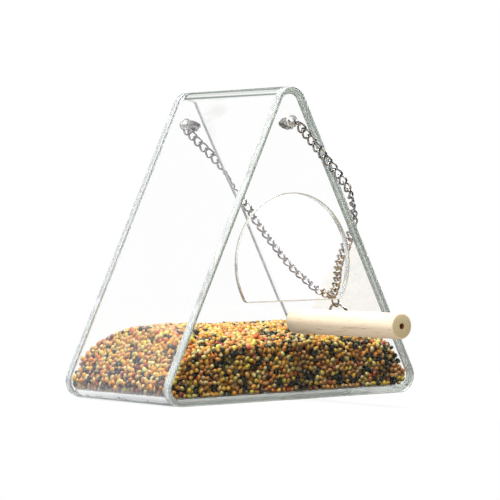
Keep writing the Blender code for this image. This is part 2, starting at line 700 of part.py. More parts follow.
def make_clasp_body(name, plane):
    half = CLAW_THICKNESS / 2
    body = extruded(name + "_body", plane.sheet(claw_outline()), -half, half, STEEL)
    slot_half = LEVER_HEEL_THICKNESS / 2 + RUNNING_GAP
    slot = extruded(name + "_slot", plane.sheet(heel_slot()), -slot_half, slot_half)
    combine(body, slot, "DIFFERENCE")
    pivot = plane.at(PIVOT_LENGTH, PIVOT_WIDTH)
    bore = RIVET_DIAMETER / 2 + RUNNING_GAP
    combine(body, rod(name + "_bore", pivot, plane.depth, bore, CLAW_THICKNESS), "DIFFERENCE")
    neck = NECK_DIAMETER / 2
    waist = EYE_WIRE_DIAMETER / 2
    profile = [(0, EYE_RADIUS - waist), (waist, EYE_RADIUS - waist), (neck, EYE_RADIUS + waist),
               (neck, CLAW_START + NECK_ROOT), (0, CLAW_START + NECK_ROOT)]
    combine(body, turned(name + "_neck", profile, plane.origin, plane.length,
                         steps=SMALL_ROUND_STEPS), "UNION")
    loop = oval_loop(plane.origin, plane.length * EYE_RADIUS, plane.width * EYE_RADIUS, SMALL_LOOP_STEPS)
    combine(body, as_mesh(wire_object(name + "_eye", [loop], EYE_WIRE_DIAMETER, 2)), "UNION")
    return body


def make_lever(name, plane):
    # The arm fills the claw's gate, and the thinner heel turns between the cheeks.
    pivot = plane.at(PIVOT_LENGTH, PIVOT_WIDTH)
    arm_half = CLAW_THICKNESS / 2 - RUNNING_GAP
    heel_half = LEVER_HEEL_THICKNESS / 2
    lever = extruded(name + "_lever", plane.sheet(gate_outline()), -arm_half, arm_half, STEEL)
    combine(lever, extruded(name + "_heel", plane.sheet(heel_outline()), -heel_half, heel_half), "UNION")
    bore = RIVET_DIAMETER / 2 + RUNNING_GAP
    combine(lever, rod(name + "_lever_bore", pivot, plane.depth, bore, CLAW_THICKNESS), "DIFFERENCE")
    set_origin(lever, pivot)
    return lever


def make_rivet(name, plane):
    radius = RIVET_DIAMETER / 2
    inner = CLAW_THICKNESS / 2 + RUNNING_GAP
    outer = inner + RIVET_HEAD_HEIGHT
    head = RIVET_HEAD_DIAMETER / 2
    crown = head - RIVET_HEAD_HEIGHT
    profile = [(0, -outer), (crown, -outer), (head, -inner), (radius, -inner),
               (radius, inner), (head, inner), (crown, outer), (0, outer)]
    pivot = plane.at(PIVOT_LENGTH, PIVOT_WIDTH)
    return turned(name + "_rivet", profile, pivot, plane.depth, STEEL, steps=SMALL_ROUND_STEPS)


def add_pivot(name, point, parent=None):
    pivot = add_object(name, None)
    pivot.location = point
    if parent:
        attach(pivot, parent)
    return pivot


def attach(item, pivot):
    # Parents without moving: every item was placed in world coordinates.
    item.location = item.location - world_place(pivot)
    item.parent = pivot


def world_place(item):
    place = item.location.copy()
    return place + world_place(item.parent) if item.parent else place


def set_origin(item, point):
    item.data.transform(Matrix.Translation(-point))
    item.location = point


def make_arm(name, side, arms_pivot):
    plane = ClaspPlane(side)
    clasp = name + "_clasp"
    attach(make_clasp_body(clasp, plane), arms_pivot)
    attach(make_lever(clasp, plane), arms_pivot)
    attach(make_rivet(clasp, plane), arms_pivot)
    end_link, *rest = [link_loop(frame) for frame in arm_links(side)]
    attach(wire_object(name + "_end_link", [end_link], WIRE_DIAMETER, 1), arms_pivot)
    attach(chain_stretch(name + "_chain_arm", rest), arms_pivot)


def make_bail():
    # The arms swing about the hook holes, the legs about the bends, and the ring about its top.
    arms_pivot = add_pivot("arms_pivot", HOOK_CENTRE)
    legs_pivot = add_pivot("legs_pivot", (bend_point(-1) + bend_point(1)) / 2, arms_pivot)
    make_arm("front", -1, arms_pivot)
    make_arm("back", 1, arms_pivot)
    curve = smooth_curve(bail_route())
    total = lengths_along(curve)
    low_index = max(range(len(curve)), key=lambda index: curve[index].dot(WALL_DOWN))
    lowest = total[low_index]
    front = leg_links(curve, -1, lowest)
    back = leg_links(curve[::-1], 1, total[-1] - lowest)
    attach(chain_stretch("front_chain_leg", front), legs_pivot)
    attach(chain_stretch("back_chain_leg", back), legs_pivot)
    before = point_at(curve, total, lowest - LINK_PITCH / 2)
    after = point_at(curve, total, lowest + LINK_PITCH / 2)
    low_frame = frame_at((before + after) / 2, after - before, WALL_OUT)
    attach(wire_object("low_link", [link_loop(low_frame)], WIRE_DIAMETER, 1), legs_pivot)
    connector, ring = make_rings(low_frame)
    attach(connector, legs_pivot)
    attach(ring, legs_pivot)


def build():
    clear_scene()
    make_wrap()
    make_front_panel()
    make_panel("back_panel", 1)
    make_perch()
    make_seed()
    make_bail()


build()
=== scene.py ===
import math

import bmesh
import bpy
import numpy as np
from mathutils import Matrix, Vector


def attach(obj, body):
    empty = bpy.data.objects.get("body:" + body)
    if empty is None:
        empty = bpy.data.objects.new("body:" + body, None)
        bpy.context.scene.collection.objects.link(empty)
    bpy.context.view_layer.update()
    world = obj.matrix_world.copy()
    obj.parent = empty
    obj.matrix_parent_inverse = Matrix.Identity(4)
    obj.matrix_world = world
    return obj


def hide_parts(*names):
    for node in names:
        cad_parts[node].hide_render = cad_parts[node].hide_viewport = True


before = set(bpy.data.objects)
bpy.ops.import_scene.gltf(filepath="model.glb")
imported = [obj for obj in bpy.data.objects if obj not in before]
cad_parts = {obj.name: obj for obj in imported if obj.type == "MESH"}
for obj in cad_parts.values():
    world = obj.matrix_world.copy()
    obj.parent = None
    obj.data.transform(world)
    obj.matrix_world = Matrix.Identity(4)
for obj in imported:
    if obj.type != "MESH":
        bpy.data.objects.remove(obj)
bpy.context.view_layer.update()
print("bird feeder: CAD frame loaded")

mm = 0.001


# mesh helpers that all pieces share

def gridFaces(rows, columns, closeRows=False, closeColumns=False):
    # Quads of a grid of rows x columns points; a closed direction joins its last line to its first.
    i = np.arange(rows if closeRows else rows - 1)
    j = np.arange(columns if closeColumns else columns - 1)
    i, j = (k.ravel() for k in np.meshgrid(i, j, indexing="ij"))
    nextI, nextJ = (i + 1) % rows, (j + 1) % columns
    return np.stack([i * columns + j, nextI * columns + j, nextI * columns + nextJ, i * columns + nextJ], 1)


def poleFaces(rings, steps):
    # Triangles that close a grid of rings at its ends, to two poles that follow the grid's points.
    j, last, tip = np.arange(steps), (rings - 1) * steps, np.full(steps, rings * steps)
    nextJ = (j + 1) % steps
    return np.concatenate([np.stack([tip, j, nextJ], 1), np.stack([tip + 1, last + nextJ, last + j], 1)])


def copied(faces, shells, points):
    # One shell's faces, for a number of shells with so many points each.
    return (faces + (np.arange(shells) * points)[:, None, None]).reshape(-1, faces.shape[1])


def fullTurn(steps):
    # Equal angles round a circle; the last stops one step short of the first.
    return np.arange(steps) / steps * math.tau


def unit(v):
    # Vectors divided by their own length.
    v = np.asarray(v, float)
    return v / np.linalg.norm(v, axis=-1, keepdims=True)


def shade(mesh, angle):
    # Smooth, apart from edges sharper than the angle.
    mesh.shade_smooth()
    if angle < 180:
        mesh.set_sharp_from_angle(angle=math.radians(angle))


def meshObject(name, points, faces, materials, smoothAngle=40.0, faceMaterial=None, tints=None, tips=None):
    # One mesh from an array of points and a list or array of faces. Tints and tips are kept per point,
    # for the grains, which are many closed shells that already agree with each other.
    mesh = bpy.data.meshes.new(name)
    faces = [list(f) for f in faces] if isinstance(faces, list) else faces.tolist()
    mesh.from_pydata(np.asarray(points).tolist(), [], faces)
    for material in materials:
        mesh.materials.append(material)
    if faceMaterial is not None:
        mesh.polygons.foreach_set("material_index", np.asarray(faceMaterial, np.int32))
    if tints is not None:
        layer = mesh.attributes.new("tint", "FLOAT_COLOR", "POINT")
        layer.data.foreach_set("color", np.asarray(tints, np.float32).ravel())
        layer = mesh.attributes.new("tip", "FLOAT", "POINT")
        layer.data.foreach_set("value", np.asarray(tips, np.float32))
    shape = bmesh.new()
    shape.from_mesh(mesh)
    if tints is None:
        bmesh.ops.recalc_face_normals(shape, faces=shape.faces)
    elif shape.calc_volume(signed=True) < 0:
        bmesh.ops.reverse_faces(shape, faces=shape.faces)
    shape.to_mesh(mesh)
    shape.free()
    shade(mesh, smoothAngle)
    item = bpy.data.objects.new(name, mesh)
    bpy.context.scene.collection.objects.link(item)
    return item


def settle(item, body, slotName, *nodes):
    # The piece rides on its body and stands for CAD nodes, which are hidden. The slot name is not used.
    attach(item, body)
    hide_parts(*nodes)
    return item


def cut(item, cutter):
    # The cutter's solid is taken out of the piece, and the result is written into its mesh.
    step = item.modifiers.new(cutter.name, "BOOLEAN")
    step.operation, step.solver, step.object = "DIFFERENCE", "EXACT", cutter
    graph = bpy.context.evaluated_depsgraph_get()
    graph.update()
    mesh = bpy.data.meshes.new_from_object(item.evaluated_get(graph))
    item.modifiers.clear()
    item.data = mesh
    bpy.data.objects.remove(cutter, do_unlink=True)


# materials

def newMaterial(name):
    # A node material, with its tree and its Principled BSDF.
    material = bpy.data.materials.new(name)
    material.use_nodes = True
    return material, material.node_tree, material.node_tree.nodes["Principled BSDF"]


def fill(tree, node, values):
    # Each input, by name or number, is linked where its value is a socket, and set where it isn't.
    for key, value in values.items():
        socket = node.inputs[key]
        if isinstance(value, bpy.types.NodeSocket):
            tree.links.new(value, socket)
        else:
            socket.default_value = (*value, 1.0) if socket.type == "RGBA" else value


def add(tree, kind, values=None, **settings):
    # One shader node with its settings and inputs.
    node = tree.nodes.new("ShaderNode" + kind)
    for key, value in settings.items():
        setattr(node, key, value)
    fill(tree, node, values or {})
    return node


def calc(tree, operation, first, second=0.0):
    # One sum or comparison of two values.
    return add(tree, "Math", {0: first, 1: second}, operation=operation).outputs[0]


def product(tree, value, *factors):
    # A value times each of the factors.
    for factor in factors:
        value = calc(tree, "MULTIPLY", value, factor)
    return value


def ramp(tree, value, source, target=(0.0, 1.0), shape="LINEAR"):
    # A value's span from source is stretched to target, and held beyond its ends.
    values = {"Value": value, "From Min": source[0], "From Max": source[1], "To Min": target[0],
              "To Max": target[1]}
    return add(tree, "MapRange", values, interpolation_type=shape).outputs["Result"]


def mixColour(tree, factor, first, second):
    # The first colour where the factor is 0 and the second where it is 1.
    return add(tree, "Mix", {0: factor, 6: first, 7: second}, data_type="RGBA").outputs[2]


def mixShader(tree, factor, first, second):
    # The first node's shader where the factor is 0 and the second's where it is 1.
    return add(tree, "MixShader", {0: factor, 1: first.outputs[0], 2: second.outputs[0]}).outputs[0]


def onPiece(tree, scale=(1, 1, 1), shift=(0, 0, 0)):
    # Object coordinates, stretched and moved by a Mapping node.
    where = add(tree, "TexCoord").outputs["Object"]
    return add(tree, "Mapping", {"Vector": where, "Scale": scale, "Location": shift}).outputs["Vector"]


def makeMottleGroup():
    # Noise at a chosen scale, stretched between two levels: a slow mottle of any surface value.
    group = bpy.data.node_groups.new("fineMottle", "ShaderNodeTree")
    for name, kind in (("Vector", "Vector"), ("Scale", "Float"), ("Low", "Float"), ("High", "Float")):
        group.interface.new_socket(name=name, in_out="INPUT", socket_type="NodeSocket" + kind)
    group.interface.new_socket(name="Value", in_out="OUTPUT", socket_type="NodeSocketFloat")
    start, end = group.nodes.new("NodeGroupInput").outputs, group.nodes.new("NodeGroupOutput")
    noise = add(group, "TexNoise", {"Vector": start["Vector"], "Scale": start["Scale"], "Detail": 4.0})
    value = ramp(group, noise.outputs["Fac"], (0.3, 0.7), (start["Low"], start["High"]))
    fill(group, end, {"Value": value})
    return group


mottleGroup = makeMottleGroup()


def mottled(tree, vector, scale, low, high):
    # A value that wanders between two levels over the surface, by the mottle group.
    values = {"Vector": vector, "Scale": scale, "Low": low, "High": high}
    return add(tree, "Group", values, node_tree=mottleGroup).outputs["Value"]


acrylic = {"ior": 1.491, "absorb": (0.76, 0.86, 0.79), "density": 1.1, "shadow": (0.95, 0.97, 0.96),
           "mottle": 90.0}
acrylicFinishes = {
    # tint, clarity, tint of what it mirrors, roughness from and to
    "clearAcrylic": ((1, 1, 1), 1.0, (0.68, 0.60, 0.84), (0.0, 0.012)),
    "clearAcrylicPanel": ((1, 1, 1), 1.0, (0.08, 0.08, 0.08), (0.0, 0.012)),
    "acrylicCutEdge": ((1.0, 0.99, 0.97), 0.74, (1, 1, 1), (0.12, 0.16)),
    # broken edges: real frosted chamfers, with a grey-green tint that is painted shade, a thin line along
    # each edge
    "acrylicBrokenEdge": ((0.66, 0.67, 0.62), 0.4, (1, 1, 1), (0.25, 0.40)),
    "acrylicSawnEdge": ((0.92, 0.92, 0.88), 0.65, (1, 1, 1), (0.30, 0.40)),
    # rims of the opening, hook hole and screw hole: real chamfers, with a brownish tint that is painted
    # shade, a dark line along each rim
    "acrylicCutRim": ((0.50, 0.45, 0.34), 0.3, (1, 1, 1), (0.25, 0.40)),
}


def acrylicMaterial(name):
    # Cast sheet: refraction, a pale green body colour that shows along the sheet, light shadow.
    material, tree, shader = newMaterial(name)
    tint, clarity, mirror, levels = acrylicFinishes[name]
    roughness = mottled(tree, onPiece(tree), acrylic["mottle"], *levels)
    fill(tree, shader, {"Base Color": tint, "Transmission Weight": clarity, "Specular Tint": mirror,
                        "IOR": acrylic["ior"], "Roughness": roughness})
    absorb = add(tree, "VolumeAbsorption", {"Color": acrylic["absorb"], "Density": acrylic["density"]})
    clear = add(tree, "BsdfTransparent", {"Color": acrylic["shadow"]})
    surface = mixShader(tree, add(tree, "LightPath").outputs["Is Shadow Ray"], shader, clear)
    fill(tree, tree.nodes["Material Output"], {"Surface": surface, "Volume": absorb.outputs["Volume"]})
    return material


steelLook = {"bright": (0.70, 0.69, 0.66), "tarnish": (0.08, 0.055, 0.04), "roughness": (0.05, 0.16)}
zincLook = {"bright": (0.72, 0.71, 0.66), "tarnish": (0.50, 0.46, 0.36), "roughness": (0.28, 0.42)}
plateScales = {"patches": 700.0, "roughness": 1500.0}


def plateMaterial(name, look):
    # Plated metal: bright with brown tarnish in patches, and roughness that wanders.
    material, tree, shader = newMaterial(name)
    vector = onPiece(tree)
    patches = mottled(tree, vector, plateScales["patches"], 0, 1)
    colour = mixColour(tree, patches, look["bright"], look["tarnish"])
    roughness = mottled(tree, vector, plateScales["roughness"], *look["roughness"])
    fill(tree, shader, {"Metallic": 1.0, "Base Color": colour, "Roughness": roughness})
    return material


wood = {"pale": (0.88, 0.75, 0.54), "dark": (0.80, 0.62, 0.38), "fleck": (0.64, 0.44, 0.24),
        "bandScale": 240.0, "poreScale": 1500.0, "poreLevels": (0.60, 0.72), "bump": 0.25,
        "bumpDepth": 0.2 * mm, "roughScale": 300.0, "roughness": (0.5, 0.7), "ringScale": 320.0,
        "ringWander": 1.2, "ringDetail": 60.0, "pith": (-1.2 * mm, 1.6 * mm),
        "lateRing": (0.68, 0.60, 0.38), "earlyRing": (0.56, 0.47, 0.27), "sawn": 0.75, "drilled": 0.8,
        "holePatchScale": 900.0, "holeRedBrown": (0.48, 0.18, 0.08), "holeDeepRedBrown": (0.30, 0.10, 0.04)}


def woodMaterial():
    # Bare pale dowel: long soft grain bands along the rod and short darker pores.
    material, tree, shader = newMaterial("paleDowelWood")
    bands = add(tree, "TexNoise", {"Vector": onPiece(tree, (1.0, 0.05, 1.0)), "Scale": wood["bandScale"],
                                   "Detail": 3.0}).outputs["Fac"]
    pores = add(tree, "TexNoise", {"Vector": onPiece(tree, (1.0, 0.08, 1.0)),
                                   "Scale": wood["poreScale"]}).outputs["Fac"]
    grain = mixColour(tree, bands, wood["pale"], wood["dark"])
    colour = mixColour(tree, ramp(tree, pores, wood["poreLevels"]), grain, wood["fleck"])
    bump = add(tree, "Bump", {"Strength": wood["bump"], "Distance": wood["bumpDepth"], "Height": pores})
    roughness = mottled(tree, onPiece(tree, (1, 0.2, 1)), wood["roughScale"], *wood["roughness"])
    fill(tree, shader, {"Base Color": colour, "Normal": bump.outputs["Normal"], "Roughness": roughness})
    return material


def endGrainMaterial(centre):
    # Cut end of the dowel: growth rings round a pith that lies off the rod's centre.
    material, tree, shader = newMaterial("dowelEndGrain")
    rings = add(tree, "TexWave", {"Vector": onPiece(tree, shift=(-centre[0], 0, -centre[1])),
                                  "Scale": wood["ringScale"], "Distortion": wood["ringWander"],
                                  "Detail Scale": wood["ringDetail"]}, wave_type="RINGS", rings_direction="Y")
    colour = mixColour(tree, rings.outputs["Fac"], wood["lateRing"], wood["earlyRing"])
    fill(tree, shader, {"Base Color": colour, "Roughness": wood["sawn"]})
    return material


def drilledMaterial():
    # Drilled hole: red-brown wall, darker in patches.
    material, tree, shader = newMaterial("drilledWood")
    patches = mottled(tree, onPiece(tree, (1, 0.3, 1)), wood["holePatchScale"], 0, 1)
    colour = mixColour(tree, patches, wood["holeRedBrown"], wood["holeDeepRedBrown"])
    fill(tree, shader, {"Base Color": colour, "Roughness": wood["drilled"]})
    return material


husk = {"germ": (0.96, 0.78, 0.48), "germShare": 0.45, "shade": 0.62, "shadeMost": 0.75, "shadeScale": 1400.0,
        "roughScale": 1000.0, "roughness": (0.32, 0.6), "gloss": 0.2, "coat": 0.6, "coatRoughness": 0.2,
        "bedScale": 520.0, "bedShadePale": (0.05, 0.04, 0.015), "bedShadeDark": (0.012, 0.012, 0.004),
        "bedRoughness": 0.8}


def seedMaterial():
    # Husk: the seed's own tint, a paler germ end, fine mottle and a waxy coat.
    material, tree, shader = newMaterial("seedHusk")
    tint = add(tree, "Attribute", attribute_name="tint").outputs["Color"]
    tip = add(tree, "Attribute", attribute_name="tip").outputs["Fac"]
    vector = onPiece(tree)
    ends = mixColour(tree, tip, tint, mixColour(tree, husk["germShare"], tint, husk["germ"]))
    darker = add(tree, "VectorMath", {0: ends, "Scale": husk["shade"]}, operation="SCALE").outputs["Vector"]
    patches = mottled(tree, vector, husk["shadeScale"], 0.0, husk["shadeMost"])
    fill(tree, shader, {"Base Color": mixColour(tree, patches, ends, darker),
                        "Roughness": mottled(tree, vector, husk["roughScale"], *husk["roughness"]),
                        "Specular IOR Level": husk["gloss"], "Coat Weight": husk["coat"],
                        "Coat Roughness": husk["coatRoughness"]})
    return material


def seedBedMaterial():
    # Painted shade between the grains: dark cells with slightly paler middles.
    material, tree, shader = newMaterial("shadedSeedBed")
    cells = add(tree, "TexVoronoi", {"Vector": onPiece(tree), "Scale": husk["bedScale"]}).outputs["Distance"]
    colour = mixColour(tree, cells, husk["bedShadePale"], husk["bedShadeDark"])
    fill(tree, shader, {"Base Color": colour, "Roughness": husk["bedRoughness"]})
    return material


clearSheet, clearPanel, cutEdge, brokenEdge, sawnEdge, cutRim = map(acrylicMaterial, acrylicFinishes)
sheetFinishes = [clearSheet, cutEdge, brokenEdge, sawnEdge]
panelFinishes = [clearPanel, cutEdge, brokenEdge, cutRim]
chainSteel = plateMaterial("nickelPlate", steelLook)
screwZinc = plateMaterial("zincPlate", zincLook)
print("materials ready")


# housing: bent sheet and two end panels

housing = {"height": 130 * mm, "lean": math.radians(26.25), "depth": 77 * mm, "bend": 7.2 * mm,
           "sheet": 3.0 * mm, "seam": 0.05 * mm, "edgeBreak": 0.35 * mm, "cornerSteps": 20,
           "openingCentre": 56.6 * mm, "openingMargin": 7.5 * mm, "openingSteps": (120, 8),
           "sillDrop": 15.4 * mm, "sillCorner": 2.5 * mm, "hookHole": 2.2 * mm, "hookDrop": 14.6 * mm,
           "hookSteps": 48}
lean, bend, sheet, nick = (housing[k] for k in ("lean", "bend", "sheet", "edgeBreak"))
sharpApex = housing["height"] + bend * (1 / math.sin(lean) - 1)
halfBase = sharpApex * math.tan(lean)
halfDepth = housing["depth"] / 2
innerDepth = halfDepth - sheet
wallOut = np.array([math.cos(lean), 0, math.sin(lean)])
wallDown = np.array([math.sin(lean), 0, -math.cos(lean)])
sharpRidge = np.array([0, 0, sharpApex])
along = np.array([0.0, 1.0, 0.0])
sides = ((-1, "front"), (1, "back"))
hookCentre = np.array([0, 0, housing["height"] - housing["hookDrop"]])
cornerX = halfBase - bend / math.tan((math.pi / 2 - lean) / 2)
cornerCentres = np.array([[cornerX, bend], [0, sharpApex - bend / math.sin(lean)], [-cornerX, bend]])


def arcPoints(centre, radius, start, end, steps):
    # Points at equal angles from start to end, one radius from the centre.
    turn = np.linspace(start, end, steps + 1)
    return np.stack([centre[0] + radius * np.cos(turn), centre[1] + radius * np.sin(turn)], 1)


def sectionOutline(inset):
    # Rounded triangle: an arc round each corner centre, with radius bend - inset, joined straight.
    turns = [-math.pi / 2, lean, math.pi - lean, math.pi * 1.5]
    return np.concatenate([arcPoints(centre, bend - inset, start, end, housing["cornerSteps"])
                           for centre, start, end in zip(cornerCentres, turns, turns[1:])])


def atDepth(outline, y):
    # Outline points as places in the plane at depth y.
    return np.stack([outline[:, 0], np.full(len(outline), y), outline[:, 1]], 1)


def weighted(item):
    # Vertex normals follow the large flat faces, so the sheet reflects and refracts as flat.
    item.modifiers.new("flatNormals", "WEIGHTED_NORMAL").keep_sharp = True
    return item


def makeWrap():
    # The section's outer and inner outlines, swept between the panels: a band closed on itself.
    end = innerDepth - housing["seam"]
    rings = [(0, -end + nick), (0, end - nick), (nick, end), (sheet - nick, end),
             (sheet, end - nick), (sheet, -end + nick), (sheet - nick, -end), (nick, -end)]
    outlines = [atDepth(sectionOutline(inset), y) for inset, y in rings]
    faces = gridFaces(len(rings), len(outlines[0]), True, True)[:, ::-1]
    kinds = np.repeat([0, 2, 3, 2, 0, 2, 1, 2], len(outlines[0]))
    return weighted(meshObject("bentAcrylicSheet", np.concatenate(outlines), faces, sheetFinishes, 50, kinds))


def cappedRings(name, rings, poles, materials, smoothAngle, kinds=0):
    # Rings of points joined one after another, and closed at each end by a fan to a pole; kinds gives the
    # material of each band, of which the first and last are the fans.
    count, steps = rings.shape[:2]
    faces = gridFaces(count, steps, False, True).tolist() + poleFaces(count, steps).tolist()
    kinds = np.broadcast_to(kinds, count + 1)
    faceKinds = np.repeat(np.concatenate([kinds[1:-1], kinds[:1], kinds[-1:]]), steps)
    points = np.concatenate([rings.reshape(-1, 3), poles])
    return meshObject(name, points, faces, materials, smoothAngle, faceKinds)


def lathed(name, profile, origin, axis, materials, kinds=0, steps=72, smoothAngle=35):
    # A profile of (radius, distance) turned about an axis; its ends are on the axis.
    profile, axis = np.asarray(profile, float), unit(axis)
    across = unit(np.cross(axis, [0.31, 0.0, 0.95]))  # any direction that no axis here has
    turn = fullTurn(steps)[:, None]
    spokes = np.cos(turn) * across + np.sin(turn) * np.cross(axis, across)
    body = profile[1:-1, None]
    rings = origin + body[..., 1:] * axis + body[..., :1] * spokes
    return cappedRings(name, rings, origin + profile[[0, -1], 1:] * axis, materials, smoothAngle, kinds)


def openingOutline():
    # Circle cut by a flat sill, with a small arc where they meet.
    centre = (0.0, housing["openingCentre"])
    radius = (sharpApex - centre[1]) * math.sin(lean) - housing["openingMargin"]
    small, (wide, tight) = housing["sillCorner"], housing["openingSteps"]
    fall = housing["sillDrop"] - small
    reach = math.sqrt((radius - small) ** 2 - fall ** 2)
    turn = -math.atan2(fall, reach)
    low = centre[1] - fall
    return np.concatenate([arcPoints(centre, radius, turn, math.pi - turn, wide),
                           arcPoints((-reach, low), small, math.pi - turn, math.pi * 1.5, tight)[1:],
                           arcPoints((reach, low), small, -math.pi / 2, turn, tight)[:-1]])


def prism(name, outline, rings, strips, materials, lay=atDepth, smoothAngle=30):
    # An outline carried straight through rings of (inset, depth), with a face at each end; strips gives
    # the material of each band between two rings, and lay turns outline points and a depth into places.
    step = np.roll(outline, -1, 0) - np.roll(outline, 1, 0)
    outward = unit(np.stack([step[:, 1], -step[:, 0]], 1))
    count = len(outline)
    points = np.concatenate([lay(outline - outward * inset, depth) for inset, depth in rings])
    faces = gridFaces(len(rings), count, False, True)[:, ::-1].tolist()
    faces += [range(count), range(len(points) - 1, len(points) - 1 - count, -1)]
    kinds = list(np.repeat(strips, count)) + [0, 0]
    return meshObject(name, points, faces, materials, smoothAngle, kinds)


def holeCutter(name, outline, low, high):
    # Straight through the sheet, flared at both faces so that the hole's rims are broken.
    rings = [(-nick, low - sheet), (-nick, low), (0, low + nick), (0, high - nick), (-nick, high),
             (-nick, high + sheet)]
    return prism(name, outline, rings, [3, 3, 1, 3, 3], panelFinishes)


def makePanel(name, side):
    # The section's outline with broken edges and a hook hole; the front has the opening and the
    # countersunk hole of the perch screw too.
    low, high = sorted((side * halfDepth, side * innerDepth))
    rings = [(nick, low), (0, low + nick), (0, high - nick), (nick, high)]
    panel = prism(name, sectionOutline(0), rings, [2, 1, 2], panelFinishes)
    hook = arcPoints((0, hookCentre[2]), housing["hookHole"], 0, math.tau, housing["hookSteps"])[:-1]
    cut(panel, holeCutter("hookCutter", hook, low, high))
    if side < 0:
        cut(panel, holeCutter("openingCutter", openingOutline(), low, high))
        play = perch["play"]
        head, shank = perch["screwHead"] + play, perch["screwRadius"] + play
        profile = [(0, -sheet), (head, -sheet), (head, play), (shank, head - shank + play),
                   (shank, 2 * sheet), (0, 2 * sheet)]
        place = np.array([0, high, perchHeight])
        cut(panel, lathed("screwCutter", profile, place, -along, panelFinishes, 3, 48))
    return panel


perch = {"radius": 5.15 * mm, "length": 69 * mm, "belowSill": 8.5 * mm, "chamfer": 0.7 * mm,
         "pilot": 1.2 * mm, "pilotDepth": 9 * mm, "play": 0.3 * mm, "screwRadius": 1.5 * mm,
         "screwHead": 2.8 * mm, "headBevel": (0.2 * mm, 0.15 * mm), "screwLength": 20 * mm,
         "screwPoint": 2.4 * mm, "screwTip": 0.1 * mm, "neck": 1.2 * mm, "threadStart": 1.5 * mm,
         "threadPitch": 1.25 * mm, "threadDepth": 0.32 * mm, "threadPower": 0.7, "ringStep": 0.125 * mm,
         "recess": (1.5 * mm, 0.32 * mm, 1.3 * mm), "recessDraft": 0.12 * mm}
perchHeight = housing["openingCentre"] - housing["sillDrop"] - perch["belowSill"]

settle(makeWrap(), "housing", "clear_acrylic", "body_wrap")
for side, word in sides:
    panel = makePanel(word + "AcrylicPanel", side)
    shade(panel.data, 30)
    settle(weighted(panel), "housing", "clear_acrylic", word + "_panel")
print("housing ready")


# perch dowel and its screw

def makeDowel():
    # A rod turned from its profile: screw hole, end face, chamfer, side, chamfer, end face, pilot hole.
    r, c, end, play = perch["radius"], perch["chamfer"], perch["length"], perch["play"]
    pilot, deep, bore = perch["pilot"], perch["pilotDepth"], perch["screwRadius"] + play
    boreEnd = perch["screwLength"] - sheet + play
    profile = [(0, boreEnd), (bore, boreEnd - bore), (bore, 0), (r - c, 0), (r - 0.3 * c, 0.25 * c), (r, c)]
    profile += [(r, y) for y in np.linspace(c, end - c, 12)[1:]]
    profile += [(r - 0.3 * c, end - 0.25 * c), (r - c, end), (pilot, end), (pilot, end - deep),
                (0, end - deep - pilot)]
    kinds = [2, 2, 1] + [0] * (len(profile) - 7) + [1, 2, 2]
    pithX, pithRise = wood["pith"]
    woods = [woodMaterial(), endGrainMaterial((pithX, perchHeight + pithRise)), drilledMaterial()]
    return lathed("perchDowel", profile, np.array([0, -halfDepth - play, perchHeight]), -along, woods, kinds)


def makeScrew():
    # Rings along the screw: head cone and neck, then a shank whose radius falls between the turns of a
    # thread that winds once round for each pitch; a cross is cut into the head.
    head, shank, length, tip = (perch[k] for k in ("screwHead", "screwRadius", "screwLength", "screwTip"))
    cone, turn, (faceBevel, rimBevel) = head - shank, fullTurn(40), perch["headBevel"]
    threaded = np.arange(cone + perch["neck"], length - tip, perch["ringStep"])
    y = np.concatenate([[0, rimBevel, cone], threaded])
    base = np.interp(y, [0, rimBevel, cone, length - perch["screwPoint"], length],
                     [head - faceBevel, head - rimBevel, shank, shank, tip])
    phase = (y[:, None] / perch["threadPitch"] - turn[None] / math.tau) % 1.0
    valley = np.abs(2 * phase - 1) ** perch["threadPower"]
    started = np.clip((y - cone - perch["threadStart"]) / perch["threadStart"], 0, 1)[:, None]
    radius = np.maximum(base[:, None] - perch["threadDepth"] * (1 - valley) * started, tip / 2)
    points = np.stack([radius * np.cos(turn), np.broadcast_to(-innerDepth - y[:, None], radius.shape),
                       perchHeight + radius * np.sin(turn)], 2)
    poles = [[0, -innerDepth, perchHeight], [0, -innerDepth - length, perchHeight]]
    screw = cappedRings("perchScrew", points, poles, [screwZinc], 45)
    reach, half, deep = perch["recess"]
    arm = np.array([(half, half), (half, reach), (-half, reach)])
    cross = np.concatenate([arm, arm[:, ::-1] * [-1, 1], -arm, arm[:, ::-1] * [1, -1]])
    rings = [(perch["recessDraft"], -innerDepth - deep), (0, -innerDepth + mm)]
    cut(screw, prism("crossCutter", cross + [0, perchHeight], rings, [0], [screwZinc]))
    return screw


settle(makeDowel(), "housing", "perch_wood", "perch_dowel")
settle(makeScrew(), "housing", "screw_zinc", "perch_screw")
print("perch ready")


# seed heap

